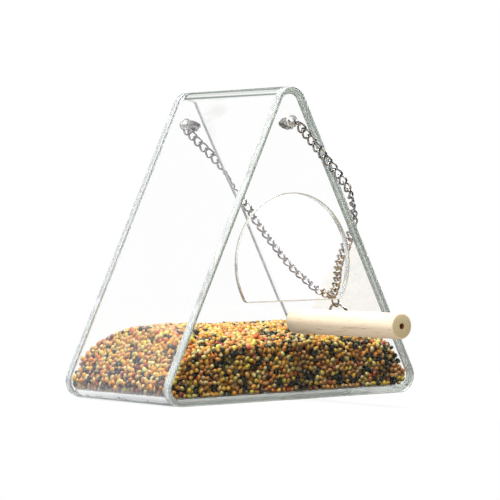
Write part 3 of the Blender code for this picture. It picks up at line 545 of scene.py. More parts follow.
seeds = {"panelHeight": 22.5 * mm, "crestHeight": 31.2 * mm, "sideFall": 5.3 * mm, "cornerFall": 10 * mm,
         "sidePower": 5, "cornerPower": 3.5, "crestY": -1 * mm, "size": 2.25 * mm, "shell": 3.4 * mm,
         "rounds": 36, "seedValue": 11, "tries": 90000, "shellSpread": 0.3, "roomEach": 0.86, "push": 0.7,
         "clearance": 0.47, "pullBack": 0.5, "wallGap": 0.08 * mm, "sizeSpread": (0.86, 1.12),
         "hueSpread": 0.08, "patchiness": 0.35, "greenish": (0.7, 1.3, 0.8), "greenShare": 0.5,
         "tintLimits": (0.004, 0.9), "waves": (5.2 * mm, 6.1 * mm, 4.3 * mm, 9 * mm), "point": 0.16,
         "germFrom": 0.55, "germGrowth": 3, "groups": 4}
seedKinds = {
    # share, half lengths in units of the grain size, tint, spread of the tint
    "golden": (0.46, (0.66, 0.52, 0.47), (0.96, 0.41, 0.05), 0.28),
    "cream": (0.20, (0.62, 0.48, 0.44), (0.96, 0.64, 0.22), 0.15),
    "orange": (0.13, (0.62, 0.48, 0.44), (0.86, 0.26, 0.04), 0.20),
    "red": (0.035, (0.60, 0.47, 0.44), (0.46, 0.08, 0.03), 0.30),
    "green": (0.03, (0.70, 0.42, 0.38), (0.78, 0.58, 0.10), 0.20),
    "dark": (0.18, (0.60, 0.44, 0.40), (0.010, 0.011, 0.003), 0.45),
}


def heapHeight(x, y):
    # Highest along a crest near the middle, falling as a parabola to the panels, lowest in the corners.
    across = np.abs(x) / halfBase
    away = (y - seeds["crestY"]) / (innerDepth + abs(seeds["crestY"]))
    crest = seeds["crestHeight"] - seeds["sideFall"] * across ** seeds["sidePower"]
    edge = seeds["panelHeight"] - seeds["cornerFall"] * across ** seeds["cornerPower"]
    return edge + (crest - edge) * (1 - away ** 2)


def sectionDepth(points):
    # How deep points lie inside the sheet's inner outline, and the direction to the nearest wall.
    radius = bend - sheet
    normals = np.array([[0.0, -1.0], [wallOut[0], wallOut[2]], [-wallOut[0], wallOut[2]]])
    point = np.stack([points[:, 0], points[:, 2]], 1)
    gaps = np.stack([(point - base) @ normal for base, normal in zip(cornerCentres[[0, 0, 2]], normals)], 1)
    depth, direction = radius - gaps.max(1), normals[gaps.argmax(1)]
    for corner, wall in zip(cornerCentres[[0, 2]], normals[1:]):
        away, side = point - corner, np.sign(corner[0])
        length = np.linalg.norm(away, axis=1)
        # in the bend's own arc the nearest wall is straight out from its centre
        inBend = (away @ normals[0] > 0) & (away @ wall > 0)
        inBend &= (away[:, 0] * side > 0) & (away @ np.array([wall[1], -wall[0]]) * side > 0)
        depth = np.where(inBend, radius - length, depth)
        direction = np.where(inBend[:, None], away / np.maximum(length, 1e-9)[:, None], direction)
    return depth, direction


def gapsAround(points):
    # Distances to the nearest wall, panel and top of the heap, and the direction to that wall.
    depth, direction = sectionDepth(points)
    toTop = heapHeight(points[:, 0], points[:, 1]) - points[:, 2]
    return np.stack([depth, innerDepth - np.abs(points[:, 1]), toTop], 1), direction


def pushInside(points, radius):
    # Points are moved to stay a seed's radius inside the walls, panels and heap, and inside the shell.
    for _ in range(2):
        depth, direction = sectionDepth(points)
        points[:, [0, 2]] -= direction * np.maximum(radius - depth, 0)[:, None]
        points[:, 1] = np.clip(points[:, 1], radius - innerDepth, innerDepth - radius)
        points[:, 2] = np.minimum(points[:, 2], heapHeight(points[:, 0], points[:, 1]) - radius)
    gaps, direction = gapsAround(points)
    nearest = gaps.argmin(1)
    extra = np.maximum(gaps.min(1) - seeds["shell"], 0) * seeds["pullBack"]
    points[:, [0, 2]] += direction * (extra * (nearest == 0))[:, None]
    points[:, 1] += np.sign(points[:, 1]) * extra * (nearest == 1)
    points[:, 2] += extra * (nearest == 2)
    return points


def neighbourPairs(points, reach):
    # Pairs closer than reach, found by sorting the points into cells of that size.
    cell = np.floor((points - points.min(0)) / reach).astype(np.int64) + 1
    size = cell.max(0) + 2
    key = (cell[:, 0] * size[1] + cell[:, 1]) * size[2] + cell[:, 2]
    order = np.argsort(key, kind="stable")
    sortedKey = key[order]
    pairs = []
    steps = (-1, 0, 1)
    for shift in [(dx * size[1] + dy) * size[2] + dz for dx in steps for dy in steps for dz in steps]:
        low = np.searchsorted(sortedKey, key + shift, "left")
        high = np.searchsorted(sortedKey, key + shift, "right")
        for step in range(int((high - low).max())):
            other = order[np.minimum(low + step, len(order) - 1)]
            keep = (low + step < high) & (other > np.arange(len(points)))
            pairs.append([np.nonzero(keep)[0], other[keep]])
    return np.concatenate(pairs, 1)


def packedSeeds():
    # Random points in a shell under the heap's surface, pushed apart until they pack like grains.
    rng = np.random.default_rng(seeds["seedValue"])
    size = seeds["size"]
    low = np.array([-halfBase, -innerDepth, sheet])
    high = np.array([halfBase, innerDepth, seeds["crestHeight"]])
    cloud = rng.uniform(low, high, (seeds["tries"], 3))
    inside = gapsAround(cloud)[0].min(1)
    keep = (inside > 0) & (inside < seeds["shell"] + seeds["shellSpread"] * size)
    volume = keep.mean() * np.prod(high - low)
    points = cloud[keep][:int(volume / (size ** 3 * seeds["roomEach"]))]
    for _ in range(seeds["rounds"]):
        first, second = neighbourPairs(points, size)
        apart = points[second] - points[first]
        length = np.maximum(np.linalg.norm(apart, axis=1), 1e-7)
        push = apart * (np.maximum(size - length, 0) / length * 0.5)[:, None]
        move = [np.bincount(second, k, len(points)) - np.bincount(first, k, len(points)) for k in push.T]
        points = pushInside(points + np.stack(move, 1) * seeds["push"], size * seeds["clearance"])
    return points, rng


def grainShape(rings=5, segments=8):
    # Unit ovoid on a grid of latitude and longitude, slightly pointed at its germ end.
    latitude = np.linspace(0, math.pi, rings + 1)[1:-1]
    lat, lon = np.meshgrid(latitude, fullTurn(segments), indexing="ij")
    radius = np.sin(lat) * (1 - seeds["point"] * np.cos(lat))
    body = np.stack([np.cos(lat), radius * np.cos(lon), radius * np.sin(lon)], 2).reshape(-1, 3)
    points = np.concatenate([body, [[1, 0, 0], [-1, 0, 0]]])
    return points, gridFaces(rings - 1, segments, False, True), poleFaces(rings - 1, segments)


def makeSeeds():
    # A grain's points are its centre plus the unit shape times its half lengths, along its own axes. Slow
    # waves gather the dark grains in patches.
    points, rng = packedSeeds()
    count = len(points)
    (x, y, z), (waveX, waveY, waveZ, slant) = points.T, seeds["waves"]
    wave = np.sin(x / waveX + 1.3) + np.sin(y / waveY + 0.4) + np.sin(z / waveZ + x / slant)
    shares, lengths, hues, spreads = (np.array(column) for column in zip(*seedKinds.values()))
    darkKind = len(shares) - 1
    pick = rng.random(count)
    dark = rng.random(count) < shares[darkKind] * (1 + seeds["patchiness"] * wave)
    kind = np.searchsorted(np.cumsum(shares[:-1]) / shares[:-1].sum(), pick)
    kind = np.where(dark, darkKind, np.minimum(kind, darkKind - 1))
    halves = lengths[kind] * seeds["size"] * rng.uniform(*seeds["sizeSpread"], (count, 1))
    tints = hues[kind] * np.exp(rng.normal(0, 1, (count, 1)) * spreads[kind][:, None])
    tints = tints * (1 + rng.normal(0, seeds["hueSpread"], (count, 3)))
    tints[(kind == darkKind) & (rng.random(count) < seeds["greenShare"])] *= seeds["greenish"]
    tints = np.clip(tints, *seeds["tintLimits"])
    x = unit(rng.normal(0, 1, (count, 3)))
    z = unit(np.cross(x, unit(rng.normal(0, 1, (count, 3)))))
    shape, quads, fans = grainShape()
    local = shape[None] * halves[:, None, :]
    verts = (points[:, None] + local[..., 0:1] * x[:, None] + local[..., 1:2] * np.cross(z, x)[:, None]
             + local[..., 2:3] * z[:, None]).reshape(-1, 3)
    air = seeds["wallGap"]
    depth, direction = sectionDepth(verts)
    verts[:, [0, 2]] -= direction * np.maximum(air - depth, 0)[:, None]
    verts[:, 1] = np.clip(verts[:, 1], -innerDepth + air, innerDepth - air)
    verts = verts.reshape(count, -1, 3)
    tip = np.clip((shape[:, 0] - seeds["germFrom"]) * seeds["germGrowth"], 0, 1)
    material, made = seedMaterial(), []
    for index, members in enumerate(np.array_split(np.argsort(points[:, 1], kind="stable"), seeds["groups"])):
        n, per = len(members), len(shape)
        faces = copied(quads, n, per).tolist() + copied(fans, n, per).tolist()
        tintRows = np.repeat(np.concatenate([tints[members], np.ones((n, 1))], 1), per, 0)
        made.append(meshObject(f"looseSeed{index + 1}", verts[members].reshape(-1, 3), faces, [material], 180,
                               None, tintRows, np.tile(tip, n)))
    print("seeds:", count)
    return made


bed = {"columns": 60, "rows": 40, "overlap": 0.4 * mm, "endRoom": 9 * mm, "footRoom": 2 * mm}


def makeSeedBed():
    # Painted shade under the loose seeds: a dark core, the section's inner outline inset, under the heap's
    # height.
    inset, columns, rows = seeds["shell"] - bed["overlap"], bed["columns"], bed["rows"]
    floor, count = sheet + inset, columns * rows
    u, y = np.meshgrid(np.linspace(-1, 1, columns), np.linspace(-1, 1, rows), indexing="ij")
    y = y * (innerDepth - inset)
    height = heapHeight(u * (halfBase - bed["endRoom"]), y) - inset

    def wallX(z):
        # The inset wall's distance from the middle at a height.
        return (sharpApex - z) * math.tan(lean) - floor / math.cos(lean)

    upper = np.stack([u * wallX(height), y, height], 2)
    lower = np.stack([u * (wallX(floor) - bed["footRoom"]), y, np.full_like(u, floor)], 2)
    top = gridFaces(columns, rows)
    i, j = np.arange(columns - 1) * rows, np.arange(rows - 1)
    front = np.stack([i, i + rows, i + rows + count, i + count], 1)
    left = np.stack([j, j + 1, j + 1 + count, j + count], 1)
    faces = np.concatenate([top, top[:, ::-1] + count, front[:, ::-1], front + rows - 1, left,
                            left[:, ::-1] + count - rows])
    points = np.concatenate([upper.reshape(-1, 3), lower.reshape(-1, 3)])
    return meshObject("seedBed", points, faces, [seedBedMaterial()])


settle(makeSeedBed(), "housing", "seed_mix", "seed_fill")
for item in makeSeeds():
    settle(item, "housing", "seed_mix", "seed_fill")
print("seed heap ready")


# chain bail

chain = {"wire": 0.9 * mm, "pitch": 3.9 * mm, "halfWidth": 1.7 * mm, "rise": 0.7 * mm, "bearing": 0.14 * mm,
         "slack": 0.5 * mm, "hooked": 0.2 * mm, "armLinks": 7, "bendLift": {-1: -0.2 * mm, 1: 2.1 * mm},
         "dropShare": 0.447, "lowY": -1.0 * mm, "twistLead": 6 * mm, "twistLength": 38 * mm, "gap": 0.3 * mm,
         "loopSteps": 44, "wireSteps": 10, "curveSteps": 24}
clasp = {"eye": 1.35 * mm, "eyeWire": 0.9 * mm, "neck": 0.9 * mm, "length": 7.6 * mm, "width": 4.9 * mm,
         "thickness": 2.6 * mm, "taper": 0.2, "nose": 0.85 * mm, "holeLength": 4.0 * mm,
         "holeWidth": 3.2 * mm, "setback": 0.55 * mm, "play": 0.3 * mm, "pivotBack": 1.9 * mm,
         "heel": 1.15 * mm, "heelHalf": 0.5 * mm, "heelTurn": (-25, -250),
         "tab": 0.65 * mm, "tabPlace": (0.4 * mm, 0.26 * mm), "tabTurn": (170, -20),
         "rivet": 0.4 * mm, "rivetHead": 0.7 * mm, "rivetRise": 0.25 * mm, "running": 0.15 * mm,
         "clawRound": 0.38 * mm, "leverRound": 0.3 * mm, "heelRound": 0.15 * mm, "noseThinning": 0.22}
hanger = {"halfLength": 2.6 * mm, "halfWidth": 1.6 * mm, "wire": 0.8 * mm, "ring": 7 * mm,
          "ringWire": 1.2 * mm}

gap = chain["gap"]
flatLift = chain["rise"] + chain["wire"] / 2 + gap
edgeLift = chain["halfWidth"] + chain["wire"] / 2 + gap
eyeStandoff = clasp["eye"] + clasp["eyeWire"] / 2 + gap
neckOffset = housing["hookHole"] - clasp["neck"] - gap
armY = halfDepth + eyeStandoff
linkHalf = (chain["pitch"] + chain["wire"] - chain["bearing"]) / 2
endPlace = neckOffset + clasp["eye"] - clasp["eyeWire"] / 2 - chain["wire"] / 2 - chain["hooked"] + linkHalf
armLength = endPlace + (chain["armLinks"] + 0.5) * chain["pitch"] - chain["slack"] * 1.5
clawStart = eyeStandoff + sheet + gap


def armDirection(side):
    # Turned from the wall's normal towards its slope, until the arm's end has its height over the wall.
    lift = (hookCentre - sharpRidge) @ wallOut
    turn = math.acos((chain["bendLift"][side] - lift) / armLength)
    return wallOut * math.cos(turn) + wallDown * math.sin(turn)


def bendPoint(side):
    # The arm's end, where the chain passes over the panel's edge.
    return hookCentre + armDirection(side) * armLength + along * side * armY


def bailCurve():
    # Catmull-Rom curve through rows of (share of the drop, share of the arms' Y, height over the wall).
    low, edge, flat = hanger["halfWidth"] + hanger["wire"] / 2 + gap, edgeLift, flatLift
    rows = np.array([
        (0.08, -1.005, edge * 0.35), (0.14, -1.00, edge * 0.60), (0.20, -0.965, edge * 0.90),
        (0.27, -0.925, edge), (0.37, -0.865, edge), (0.55, -0.64, edge * 0.8),
        (0.74, -0.37, flat), (0.86, -0.232, low), (0.95, -0.11, low),
        (1.00, chain["lowY"] / armY, low),
        (0.97, 0.14, low), (0.93, 0.255, low), (0.87, 0.335, low), (0.76, 0.46, flat),
        (0.62, 0.58, flat), (0.47, 0.715, edge * 0.8), (0.32, 0.835, edge), (0.22, 0.905, edge),
        (0.15, 0.97, edge), (0.08, 1.01, edge)])
    start = (bendPoint(-1) - sharpRidge) @ wallDown
    down = start + chain["dropShare"] * housing["height"] * rows[:, 0]
    points = sharpRidge + down[:, None] * wallDown + rows[:, 1:2] * armY * along + rows[:, 2:3] * wallOut
    points = np.concatenate([[bendPoint(-1)], points, [bendPoint(1)]])
    ends = np.concatenate([[points[0] * 2 - points[1]], points, [points[-1] * 2 - points[-2]]])
    p0, p1, p2, p3 = (ends[k:len(ends) - 3 + k, None] for k in range(4))
    t = (np.arange(chain["curveSteps"]) / chain["curveSteps"])[None, :, None]
    curve = 0.5 * (2 * p1 + (p2 - p0) * t + (2 * p0 - 5 * p1 + 4 * p2 - p3) * t * t
                   + (3 * p1 - p0 - 3 * p2 + p3) * t ** 3)
    return np.concatenate([curve.reshape(-1, 3), points[-1:]])


def runLengths(curve):
    # The distance along the curve to each of its points.
    return np.concatenate([[0], np.cumsum(np.linalg.norm(np.diff(curve, axis=0), axis=1))])


def alongCurve(curve, total, places):
    # Points of the curve at given distances along it.
    return np.stack([np.interp(places, total, curve[:, k]) for k in range(3)], 1)


def chainNormals(side, places):
    # Flat on the panel at the bend, then turning smoothly to lie flat on the wall.
    share = np.clip((places + chain["twistLead"]) / chain["twistLength"], 0, 1)
    turn = (share * share * (3 - 2 * share) * math.pi / 2)[:, None]
    return along * side * np.cos(turn) + wallOut * np.sin(turn)


def linkFrames(centres, forward, normals):
    # Rows of X along the chain, Z as near to the normal as it can be, and Y square to both.
    x = unit(forward)
    z = unit(normals - x * (normals * x).sum(1, keepdims=True))
    return centres, x, np.cross(z, x), z


def armFrames(side):
    # The end link in the clasp's eye, then links one pitch apart along a straight arm.
    direction = armDirection(side)
    rest = endPlace + chain["pitch"] * np.arange(1, chain["armLinks"] + 1) - chain["slack"]
    places = np.concatenate([[endPlace], rest])
    centres = hookCentre + places[:, None] * direction + along * side * armY
    return linkFrames(centres, np.tile(direction, (len(places), 1)), chainNormals(side, places - armLength))


def legFrames(curve, side, end):
    # Links along the curve, at the pitch nearest to the chain's that divides the run evenly.
    total = runLengths(curve)
    first = (chain["pitch"] - chain["slack"]) / 2
    span = end - first + chain["slack"]
    count = round(span / chain["pitch"])
    pitch = span / count
    places = first + np.arange(count) * pitch
    near, far = (alongCurve(curve, total, places + shift) for shift in (-pitch / 2, pitch / 2))
    return linkFrames((near + far) / 2, far - near, chainNormals(side, places)), pitch


def tubeAround(path, tangent, up, radius, steps):
    # A round section of given radius carried along closed paths; path is (loops, points, 3).
    side = unit(np.cross(tangent, up))
    lift = unit(np.cross(side, tangent))
    turn = fullTurn(steps)[:, None]
    spokes = np.cos(turn) * side[..., None, :] + np.sin(turn) * lift[..., None, :]
    return path[..., None, :] + radius * spokes


def linkTubes(frames, pitch):
    # Each link's middle line is (a cos t, b sin t, c sin 2t) in its own frame.
    centres, x, y, z = frames
    half, width, rise = linkHalf + (pitch - chain["pitch"]) / 2, chain["halfWidth"], chain["rise"]
    t = fullTurn(chain["loopSteps"])
    local = np.stack([half * np.cos(t), width * np.sin(t), rise * np.sin(2 * t)], 1)
    slope = np.stack([-half * np.sin(t), width * np.cos(t), 2 * rise * np.cos(2 * t)], 1)
    axes = np.stack([x, y, z], 1)
    path = centres[:, None] + local @ axes
    up = np.broadcast_to(z[:, None], path.shape)
    return tubeAround(path, unit(slope) @ axes, up, chain["wire"] / 2, chain["wireSteps"])


def ovalTube(centre, first, second, radius, around, section):
    # A round wire along the oval centre + cos t first + sin t second.
    t = fullTurn(around)[:, None]
    path = centre + np.cos(t) * first + np.sin(t) * second
    tangent = unit(-np.sin(t) * first + np.cos(t) * second)
    normal = np.broadcast_to(unit(np.cross(first, second)), path.shape)
    return tubeAround(path[None], tangent[None], normal[None], radius, section)


def steelLoops(name, tubes, body, *nodes):
    # Closed tubes as one plated piece: each tube is a grid that closes both ways.
    loops, around, section, _ = tubes.shape
    faces = copied(gridFaces(around, section, True, True), loops, around * section)
    item = meshObject(name, tubes.reshape(-1, 3), faces, [chainSteel], 180)
    return settle(item, body, "chain_steel", *nodes)


def makeChain():
    # Two arms, two legs that meet in the lowest link, the oval connector and the hanging ring.
    pitch, width = chain["pitch"], chain["halfWidth"]
    for side, word in sides:
        steelLoops(word + "ArmChain", linkTubes(armFrames(side), pitch), "chain_arms",
                   word + "_chain_arm", word + "_end_link")
    curve = bailCurve()
    total = runLengths(curve)
    lowest = total[(curve @ wallDown).argmax()]
    for (side, word), route, end in zip(sides, (curve, curve[::-1]), (lowest, total[-1] - lowest)):
        tubes = linkTubes(*legFrames(route, side, end))
        steelLoops(word + "LegChain", tubes, "chain_legs", word + "_chain_leg")
    near, far = alongCurve(curve, total, np.array([lowest - pitch / 2, lowest + pitch / 2]))[:, None]
    lowFrame = linkFrames((near + far) / 2, far - near, wallOut[None])
    steelLoops("lowLink", linkTubes(lowFrame, pitch), "chain_legs", "low_link")
    strand = lowFrame[0][0] + wallDown * width
    long, short, thin = hanger["halfLength"], hanger["halfWidth"], hanger["wire"] / 2
    radius, wire = hanger["ring"], hanger["ringWire"] / 2
    inside = long - thin - chain["hooked"]
    hub = strand + wallDown * (inside - chain["wire"] / 2)
    oval = ovalTube(hub, wallDown * long, wallOut * short, thin, 48, 12)
    steelLoops("ovalConnector", oval, "chain_legs", "connector_link")
    top = hub + wallDown * (inside - wire)
    tilt = math.asin(((top - sharpRidge) @ wallOut - wire - gap) / (2 * radius))
    slope = wallDown * math.cos(tilt) - wallOut * math.sin(tilt)
    ring = ovalTube(top + slope * radius, along * radius, slope * radius, wire, 96, 16)
    steelLoops("hangingRing", ring, "hanging_ring", "hanging_ring")


def dropPoints(shape, start, end, steps):
    # An ellipse that is narrower towards its nose, from one turn to another.
    length, width, centre = shape
    turn = np.linspace(start, end, steps)
    share = np.cos(turn)
    return np.stack([centre + length / 2 * share, width / 2 * np.sin(turn) * (1 - clasp["taper"] * share)], 1)


def dropTurn(shape, at):
    # The turn at which that ellipse reaches a place along its axis.
    return math.acos((at - shape[2]) / (shape[0] / 2))


def dropRise(shape, at):
    # The ellipse's half width at that place.
    return dropPoints(shape, dropTurn(shape, at), 0, 1)[0, 1]


def makeClasp(side, word):
    # Cast claw, thumb lever and rivet from their outlines in the clasp's own plane, with rounded rims.
    half, running, play, heelReach = clasp["thickness"] / 2, clasp["running"], clasp["play"], clasp["heel"]
    length, holeLength = clasp["length"], clasp["holeLength"]
    claw, holeEnd = (length, clasp["width"], clawStart + length / 2), clawStart + length - clasp["nose"]
    hole = (holeLength, clasp["holeWidth"], holeEnd - holeLength / 2)
    pivotX = clawStart + clasp["pivotBack"]
    pivot = np.array([pivotX, dropRise(claw, pivotX) - heelReach])
    gateStart, gateEnd = pivotX + heelReach, holeEnd - clasp["setback"]
    axisX, axisY = -along * side, armDirection(side)
    axisZ = np.cross(axisX, axisY)
    origin = hookCentre + along * side * armY + axisY * neckOffset
    steel = [chainSteel]

    def onPlane(outline):
        # Points of the clasp's plane as places.
        return origin + outline[..., :1] * axisX + outline[..., 1:2] * axisY

    def lay(outline, depth):
        # The same at a depth, which shrinks towards the nose.
        thin = 1 - clasp["noseThinning"] * np.clip((outline[:, 0] - clawStart) / length, 0, 1)
        return onPlane(outline) + (depth * thin)[:, None] * axisZ

    def cast(name, outline, thick, rounding):
        # The outline through rings of (inset, depth): a quarter round at each rim.
        turn = np.linspace(0, math.pi / 2, 6)
        rim = np.stack([rounding * (1 - np.sin(turn)), thick - rounding * (1 - np.cos(turn))], 1)
        rounds = np.concatenate([rim * [1, -1], rim[::-1]])
        return prism(name, outline, rounds, [0] * (len(rounds) - 1), steel, lay, 38)

    def steelPiece(item, node="_clasp_body", body="chain_arms"):
        # A plated piece of this clasp: it stands for the node of that ending on the clasp's own side.
        settle(item, body, "chain_steel", word + node)

    def bore(item):
        # The rivet's hole, with room to turn.
        reach, radius = clasp["thickness"], clasp["rivet"] + running
        profile = [(0, -reach), (radius, -reach), (radius, reach), (0, reach)]
        cut(item, lathed("boreCutter", profile, onPlane(pivot), axisZ, steel, 0, 24))

    def between(start, end, lap, steps):
        # Along the claw's outline from one place to another, and back along its hole's.
        return np.concatenate([dropPoints(claw, dropTurn(claw, start), lap + dropTurn(claw, end), steps),
                               dropPoints(hole, lap + dropTurn(hole, end), dropTurn(hole, start), steps)])

    body = cast(word + "ClaspClaw", between(gateStart, gateEnd, math.tau, 90), half, clasp["clawRound"])
    wide, front, slotHalf = heelReach + play, gateStart + play, clasp["heelHalf"] + running
    above = clasp["width"]
    slot = np.concatenate([arcPoints(pivot, wide, math.pi, math.pi * 1.5, 16),
                           [(front, pivot[1] - wide), (front, above), (pivotX - wide, above)]])
    cut(body, prism("slotCutter", slot, [(0, -slotHalf), (0, slotHalf)], [0], steel,
                    lambda outline, depth: onPlane(outline) + depth * axisZ))
    bore(body)
    steelPiece(body)
    # from the eye's side: foot, stem through the hook hole, shoulder in the claw
    neck = np.array([(0, 0.95), (0.55, 1.05), (0.8, 1.5), (0.9, 1.9), (0.9, 2.2), (0.74, 2.5), (0.72, 4.5),
                     (0.9, 4.85), (0.9, 5.5), (0.6, 5.75), (0, 5.75)]) * mm
    steelPiece(lathed(word + "ClaspNeck", neck, origin, axisX, steel, 0, 32, 50))
    eye = ovalTube(origin, axisX * clasp["eye"], axisY * clasp["eye"], clasp["eyeWire"] / 2, 48, 14)
    steelLoops(word + "ClaspEye", eye, "chain_arms", word + "_clasp_body")

    start, end = gateStart + play, gateEnd - running
    arm = cast(word + "ClaspLever", between(start, end, 0, 24), half - running, clasp["leverRound"])
    tab = pivot + [clasp["tabPlace"][0], heelReach + clasp["tabPlace"][1]]
    reach = start + running * 2
    outer, inner = dropRise(claw, reach) - running, dropRise(hole, reach) + running
    plate = np.concatenate([arcPoints(pivot, heelReach, *np.radians(clasp["heelTurn"]), 28),
                            arcPoints(tab, clasp["tab"], *np.radians(clasp["tabTurn"]), 18),
                            [(reach, outer), (reach, inner)]])
    heel = cast(word + "ClaspHeel", plate[::-1], clasp["heelHalf"], clasp["heelRound"])
    bore(heel)
    for item in (arm, heel):
        steelPiece(item, "_clasp_lever", word + "_lever")
    inside, head, rise = half + running, clasp["rivetHead"], clasp["rivetRise"]
    dome = [(0, inside + rise), (0.45 * head, inside + 0.9 * rise), (0.8 * head, inside + 0.55 * rise),
            (head, inside), (clasp["rivet"], inside)]
    profile = [(r, -d) for r, d in dome] + dome[::-1]
    steelPiece(lathed(word + "ClaspRivet", profile, onPlane(pivot), axisZ, steel, 0, 32, 50), "_clasp_rivet")


makeChain()
for side, word in sides:
    makeClasp(side, word)
print("chain ready")


# floor, backdrop, lights and camera

studio = {"floorSize": 3.0, "floorDrop": 0.1 * mm, "floorGlow": 0.85, "shadowReach": (0.10, 0.22),
          "floorColour": (0.70, 0.70, 0.71), "floorBounce": (0.36, 0.33, 0.29), "floorTurn": (-0.08, 0.04),
          "floorMirrored": (0.25, 0.25, 0.25), "floorEnd": 0.28, "floorGuided": 0.7, "skyTurn": (0.0, 0.45),
          "skyRise": (0.0, 0.5), "skyLevel": (0.04, 0.35), "bandMiddle": 0.37, "bandWidth": (0.15, 0.20),
          "bandStart": 0.0, "dimColour": (0.18, 0.24, 0.19), "roomLoss": 0.8}
lamps = {
    # place, height of the point it faces, size, power, colour
    "overheadSoftbox": ((-0.12, -0.12, 0.75), 0.05, 0.3, 8.5, (0.95, 0.97, 1.05)),
    "backSoftbox": ((0.7, 0.5, 0.5), 0.03, 0.5, 7.0, (0.78, 0.85, 1.0)),
    "leftFill": ((-0.95, 0.05, 0.45), 0.05, 0.5, 5.5, (0.66, 0.74, 1.0)),
    "frontFill": ((-0.45, -0.75, 0.55), 0.05, 0.5, 3.0, (1.0, 0.86, 0.62)),
}
view = {"yaw": -36.39, "pitch": 1.15, "roll": -0.654, "distance": 1.13545, "lens": 191.23, "sensor": 36.0,
        "target": (5.606 * mm, 0.0, 61.621 * mm)}
bounces = {"max_bounces": 40, "glossy_bounces": 40, "transmission_bounces": 40, "transparent_max_bounces": 24}


def studioMasks(tree, towards, turn, guided):
    # First: how much of the white set a ray finds. The camera finds all of it, itself or through clear
    # sheet; a ray that was mirrored once finds only what is behind the object, so the room in front is
    # dark; light that left a matt surface finds none. Where guided is 1, light that was guided along one
    # sheet finds all of it too. Second: 1 for mirrored rays.
    path = add(tree, "LightPath").outputs
    direct = calc(tree, "LESS_THAN", path["Diffuse Depth"], 0.5)
    mirrored = calc(tree, "GREATER_THAN", path["Glossy Depth"], 0.5)
    seen = calc(tree, "MAXIMUM", path["Is Camera Ray"], path["Is Transmission Ray"])
    entered = calc(tree, "GREATER_THAN", path["Transmission Depth"], 0.5)
    oneSheet = calc(tree, "LESS_THAN", path["Transmission Depth"], 2.5)
    passed = product(tree, entered, oneSheet, guided)
    behind = calc(tree, "MAXIMUM", ramp(tree, towards, turn), passed)
    choose = add(tree, "Mix", {"Factor": mirrored, "A": seen, "B": behind})
    return product(tree, choose.outputs["Result"], direct), mirrored


def makeFloor():
    # A pale square just under the object. Its glow grows to plain white away from the object, and leaves
    # the shadow near it.
    corners = np.array([[-1, -1, 0], [1, -1, 0], [1, 1, 0], [-1, 1, 0]]) * studio["floorSize"]
    material, tree, shader = newMaterial("whiteTable")
    where = add(tree, "TexCoord").outputs["Object"]
    y = add(tree, "SeparateXYZ", {"Vector": where}).outputs["Y"]
    across = calc(tree, "MINIMUM", y, calc(tree, "SUBTRACT", studio["floorEnd"], y))
    white, mirrored = studioMasks(tree, across, studio["floorTurn"], studio["floorGuided"])
    unseen = mixColour(tree, mirrored, studio["floorBounce"], studio["floorMirrored"])
    fill(tree, shader, {"Base Color": mixColour(tree, white, unseen, studio["floorColour"]), "Roughness": 0.9,
                        "Specular IOR Level": 0.0})
    far = add(tree, "VectorMath", {0: where}, operation="LENGTH").outputs["Value"]
    glow = ramp(tree, far, studio["shadowReach"], (studio["floorGlow"], 1.0), "SMOOTHSTEP")
    surface = mixShader(tree, product(tree, white, glow), shader, add(tree, "Emission"))
    fill(tree, tree.nodes["Material Output"], {"Surface": surface})
    meshObject("studioFloor", corners - [0, 0, studio["floorDrop"]], [(0, 1, 2, 3)], [material], 30)


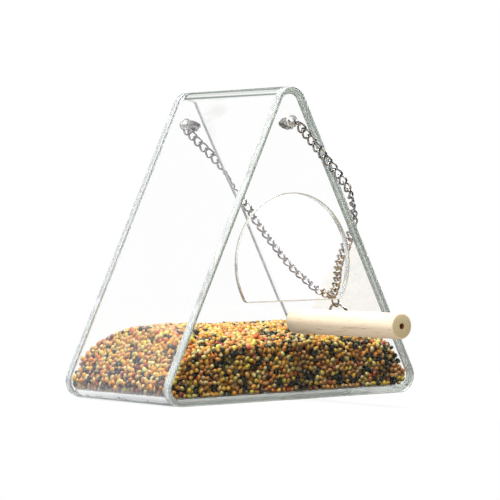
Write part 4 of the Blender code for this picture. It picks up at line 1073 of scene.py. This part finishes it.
def makeWorld():
    # White for camera and transmitted rays; mirrored rays find a bright backdrop behind the object and a
    # dark room in front, and the rest a soft sky over a dimmer horizon. On the right, mirrored rays find a
    # dim room except for one bright band, and outer faces find no band: this draws a bend's two lines.
    world = bpy.data.worlds.new("softStudio")
    bpy.context.scene.world = world
    world.use_nodes = True
    tree = world.node_tree
    ray = add(tree, "SeparateXYZ", {"Vector": add(tree, "TexCoord").outputs["Generated"]}).outputs
    white, mirrored = studioMasks(tree, ray["Y"], studio["skyTurn"], 1.0)
    kept = calc(tree, "SUBTRACT", 1.0, product(tree, mirrored, studio["roomLoss"]))
    sky = ramp(tree, ray["Z"], studio["skyRise"], studio["skyLevel"])
    soft = add(tree, "Background", {"Strength": product(tree, sky, kept)})
    away = calc(tree, "ABSOLUTE", calc(tree, "SUBTRACT", ray["Z"], studio["bandMiddle"]))
    unlit = ramp(tree, away, studio["bandWidth"], shape="SMOOTHSTEP")
    outer = calc(tree, "LESS_THAN", add(tree, "LightPath").outputs["Transmission Depth"], 0.5)
    onRight = calc(tree, "GREATER_THAN", ray["X"], studio["bandStart"])
    dim = product(tree, calc(tree, "MAXIMUM", unlit, outer), mirrored, onRight)
    plain = tree.nodes["Background"]
    fill(tree, plain, {"Color": mixColour(tree, dim, (1, 1, 1), studio["dimColour"])})
    fill(tree, tree.nodes["World Output"], {"Surface": mixShader(tree, white, soft, plain)})


def addLamp(name, place, aim, size, power, colour):
    # A square area lamp that faces a point above the origin.
    data = bpy.data.lights.new(name, "AREA")
    data.shape, data.size, data.energy, data.color = "SQUARE", size, power, colour
    lamp = bpy.data.objects.new(name, data)
    lamp.location = place
    lamp.rotation_euler = (Vector((0, 0, aim)) - Vector(place)).to_track_quat("-Z", "Y").to_euler()
    bpy.context.scene.collection.objects.link(lamp)
    lamp.visible_camera = lamp.visible_transmission = False


def makeCamera():
    # It stands a distance back from its target along yaw and pitch, and is turned by roll about its view.
    yaw, pitch, roll = (math.radians(view[k]) for k in ("yaw", "pitch", "roll"))
    back = Vector((math.sin(yaw) * math.cos(pitch), -math.cos(yaw) * math.cos(pitch), math.sin(pitch)))
    right = Vector((math.cos(yaw), math.sin(yaw), 0))
    up = back.cross(right)
    across = right * math.cos(roll) + up * math.sin(roll)
    upward = up * math.cos(roll) - right * math.sin(roll)
    data = bpy.data.cameras.new("photoCamera")
    data.lens, data.sensor_width = view["lens"], view["sensor"]
    camera = bpy.data.objects.new("photoCamera", data)
    place = Vector(view["target"]) + back * view["distance"]
    rows = [(across[k], upward[k], back[k], place[k]) for k in range(3)]
    camera.matrix_world = Matrix((*rows, (0, 0, 0, 1)))
    bpy.context.scene.collection.objects.link(camera)
    bpy.context.scene.camera = camera


makeFloor()
makeWorld()
for name, values in lamps.items():
    addLamp(name, *values)
makeCamera()

scene = bpy.context.scene
scene.view_settings.view_transform = "Standard"
for name, value in bounces.items():
    setattr(scene.cycles, name, value)
scene.cycles.caustics_refractive = scene.cycles.caustics_reflective = False
print("studio ready")
